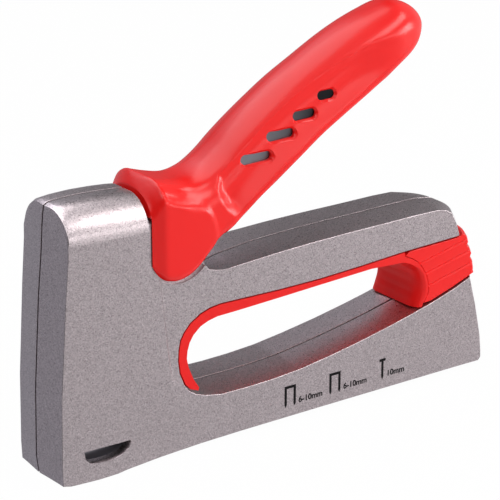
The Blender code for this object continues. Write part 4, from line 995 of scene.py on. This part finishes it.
def make_floor():
    deselect()
    bpy.ops.mesh.primitive_plane_add(size=8, location=(0, 0, 0))
    floor = bpy.context.object
    floor.name = "studio_floor"
    material = bpy.data.materials.new("studio_white")
    material.use_nodes = True
    tree = material.node_tree
    diffuse = tree.nodes["Principled BSDF"]
    feed(diffuse, {"Base Color": (0.9, 0.9, 0.9, 1), "Roughness": 0.9, "Specular IOR Level": 0.0})
    colour, strength = studio_light(tree, place_in(tree), (CAD_LOW.x, CAD_LOW.y, 0))
    glow = add_node(tree, "Emission", {"Color": colour, "Strength": strength})
    share = calculate(tree, "MULTIPLY", any_ray(tree, BEHIND), SEEN_FLOOR)
    show_mix(tree, share, diffuse.outputs["BSDF"], glow.outputs["Emission"], "Material Output")
    floor.data.materials.append(material)
    floor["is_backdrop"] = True


def make_lights():
    for name, place, width, height, power, colour in LAMPS:
        deselect()
        bpy.ops.object.light_add(type="AREA", location=place)
        lamp = bpy.context.object
        lamp.name = name
        lamp.data.shape = "RECTANGLE"
        lamp.data.size, lamp.data.size_y = width, height
        lamp.data.energy = power
        lamp.data.color = colour
        lamp.rotation_euler = (LAMP_AIM - Vector(place)).to_track_quat("-Z", "Y").to_euler()


def make_world():
    world = bpy.data.worlds.new("studio_world")
    bpy.context.scene.world = world
    world.use_nodes = True
    tree = world.node_tree
    light = tree.nodes["Background"]
    place = place_in(tree, "Generated")
    feed(light, {"Color": (0.97, 0.98, 1, 1), "Strength": side_panel(tree, place, *DIFFUSE_PANEL)})
    colour, strength = studio_light(tree, place, (0, 0, 0))
    white = add_node(tree, "Background", {"Color": colour, "Strength": strength})
    lights = [node.outputs["Background"] for node in (light, white)]
    show_mix(tree, any_ray(tree, BEHIND), *lights, "World Output")


def make_camera():
    view = bpy.context.scene.staple_gun_stage
    flat = math.cos(view.elevation) * view.distance
    aim = Vector(view.aim)
    place = aim + Vector((flat * math.sin(view.azimuth), -flat * math.cos(view.azimuth),
                          math.sin(view.elevation) * view.distance))
    deselect()
    bpy.ops.object.camera_add(location=place)
    camera = bpy.context.object
    camera.name = "studio_camera"
    camera.rotation_euler = (aim - place).to_track_quat("-Z", "Y").to_euler()
    camera.data.lens = view.lens
    camera.data.sensor_width = 36
    camera.data.clip_start = 0.01
    bpy.context.scene.camera = camera


# --- operators ---
class STAPLEGUN_OT_finishes(bpy.types.Operator):
    """Makes the materials and gives each piece of the frame its own"""
    bl_idname = "staplegun.finishes"
    bl_label = "Finishes"

    def execute(self, context):
        make_finishes()
        for name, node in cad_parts.items():
            finish = FINISHES[OWN_FINISH.get(name, node.data.materials[0].name.split(".")[0])]
            node.data.materials.clear()
            node.data.materials.append(finish)
        return {"FINISHED"}


class STAPLEGUN_OT_body(bpy.types.Operator):
    """Models the two cast halves of the body"""
    bl_idname = "staplegun.body"
    bl_label = "Cast body"

    def execute(self, context):
        for side, node in ((-1, "left_body_shell"), (1, "right_body_shell")):
            finish_piece(make_body_half(side), "body", "cast_metal", [node], keep_flat=True)
        return {"FINISHED"}


class STAPLEGUN_OT_marks(bpy.types.Operator):
    """Lays the printed size marks on the body's near side"""
    bl_idname = "staplegun.marks"
    bl_label = "Size marks"

    def execute(self, context):
        finish_piece(make_marks(), "body", "ink")
        return {"FINISHED"}


class STAPLEGUN_OT_trim(bpy.types.Operator):
    """Models the red finger-loop trim with its palm face"""
    bl_idname = "staplegun.trim"
    bl_label = "Loop trim"

    def execute(self, context):
        finish_piece(make_trim_shape(), "body", "trim_plastic", ["finger_loop_trim"],
                     keep_flat=True)
        return {"FINISHED"}


class STAPLEGUN_OT_release(bpy.types.Operator):
    """Models the ribbed release block"""
    bl_idname = "staplegun.release"
    bl_label = "Release block"

    def execute(self, context):
        finish_piece(make_block_shape(), "release", "red_plastic", ["release_block"],
                     keep_flat=True)
        return {"FINISHED"}


class STAPLEGUN_OT_handle(bpy.types.Operator):
    """Models the red handle cover with its collar, cheeks, scoops and slots"""
    bl_idname = "staplegun.handle"
    bl_label = "Handle cover"

    def execute(self, context):
        finish_piece(make_handle_shape(), "handle", "red_plastic", ["handle_cover"],
                     angle=38)
        return {"FINISHED"}


class STAPLEGUN_OT_stage(bpy.types.Operator):
    """Sets the floor, the lights, the world and the camera"""
    bl_idname = "staplegun.stage"
    bl_label = "Stage"

    def execute(self, context):
        make_floor()
        make_lights()
        make_world()
        make_camera()
        context.scene.view_settings.view_transform = "Standard"
        return {"FINISHED"}


class STAPLEGUN_PT_panel(bpy.types.Panel):
    """Lists the steps that build the staple gun's looks"""
    bl_idname = "STAPLEGUN_PT_panel"
    bl_label = "Staple gun"
    bl_space_type = "VIEW_3D"
    bl_region_type = "UI"
    bl_category = "Staple gun"

    def draw(self, context):
        for settings in (sizes(), colours(), context.scene.staple_gun_stage):
            box = self.layout.box()
            for name in settings.bl_rna.properties.keys():
                if name not in ("rna_type", "name"):
                    box.prop(settings, name)
        for step in STEPS:
            self.layout.operator(step.bl_idname)


STEPS = (
    STAPLEGUN_OT_finishes, STAPLEGUN_OT_body, STAPLEGUN_OT_marks, STAPLEGUN_OT_trim,
    STAPLEGUN_OT_release, STAPLEGUN_OT_handle, STAPLEGUN_OT_stage,
)
CLASSES = (StapleGunSizes, StapleGunColours, StapleGunStage, *STEPS, STAPLEGUN_PT_panel)


def register():
    for entry in CLASSES:
        bpy.utils.register_class(entry)
    bpy.types.Scene.staple_gun_sizes = bpy.props.PointerProperty(type=StapleGunSizes)
    bpy.types.Scene.staple_gun_colours = bpy.props.PointerProperty(type=StapleGunColours)
    bpy.types.Scene.staple_gun_stage = bpy.props.PointerProperty(type=StapleGunStage)


def unregister():
    del bpy.types.Scene.staple_gun_sizes
    del bpy.types.Scene.staple_gun_colours
    del bpy.types.Scene.staple_gun_stage
    for entry in reversed(CLASSES):
        bpy.utils.unregister_class(entry)


def main():
    register()
    bpy.ops.staplegun.finishes()
    bpy.ops.staplegun.body()
    bpy.ops.staplegun.marks()
    bpy.ops.staplegun.trim()
    bpy.ops.staplegun.release()
    bpy.ops.staplegun.handle()
    bpy.ops.staplegun.stage()


if __name__ == "__main__":
    main()
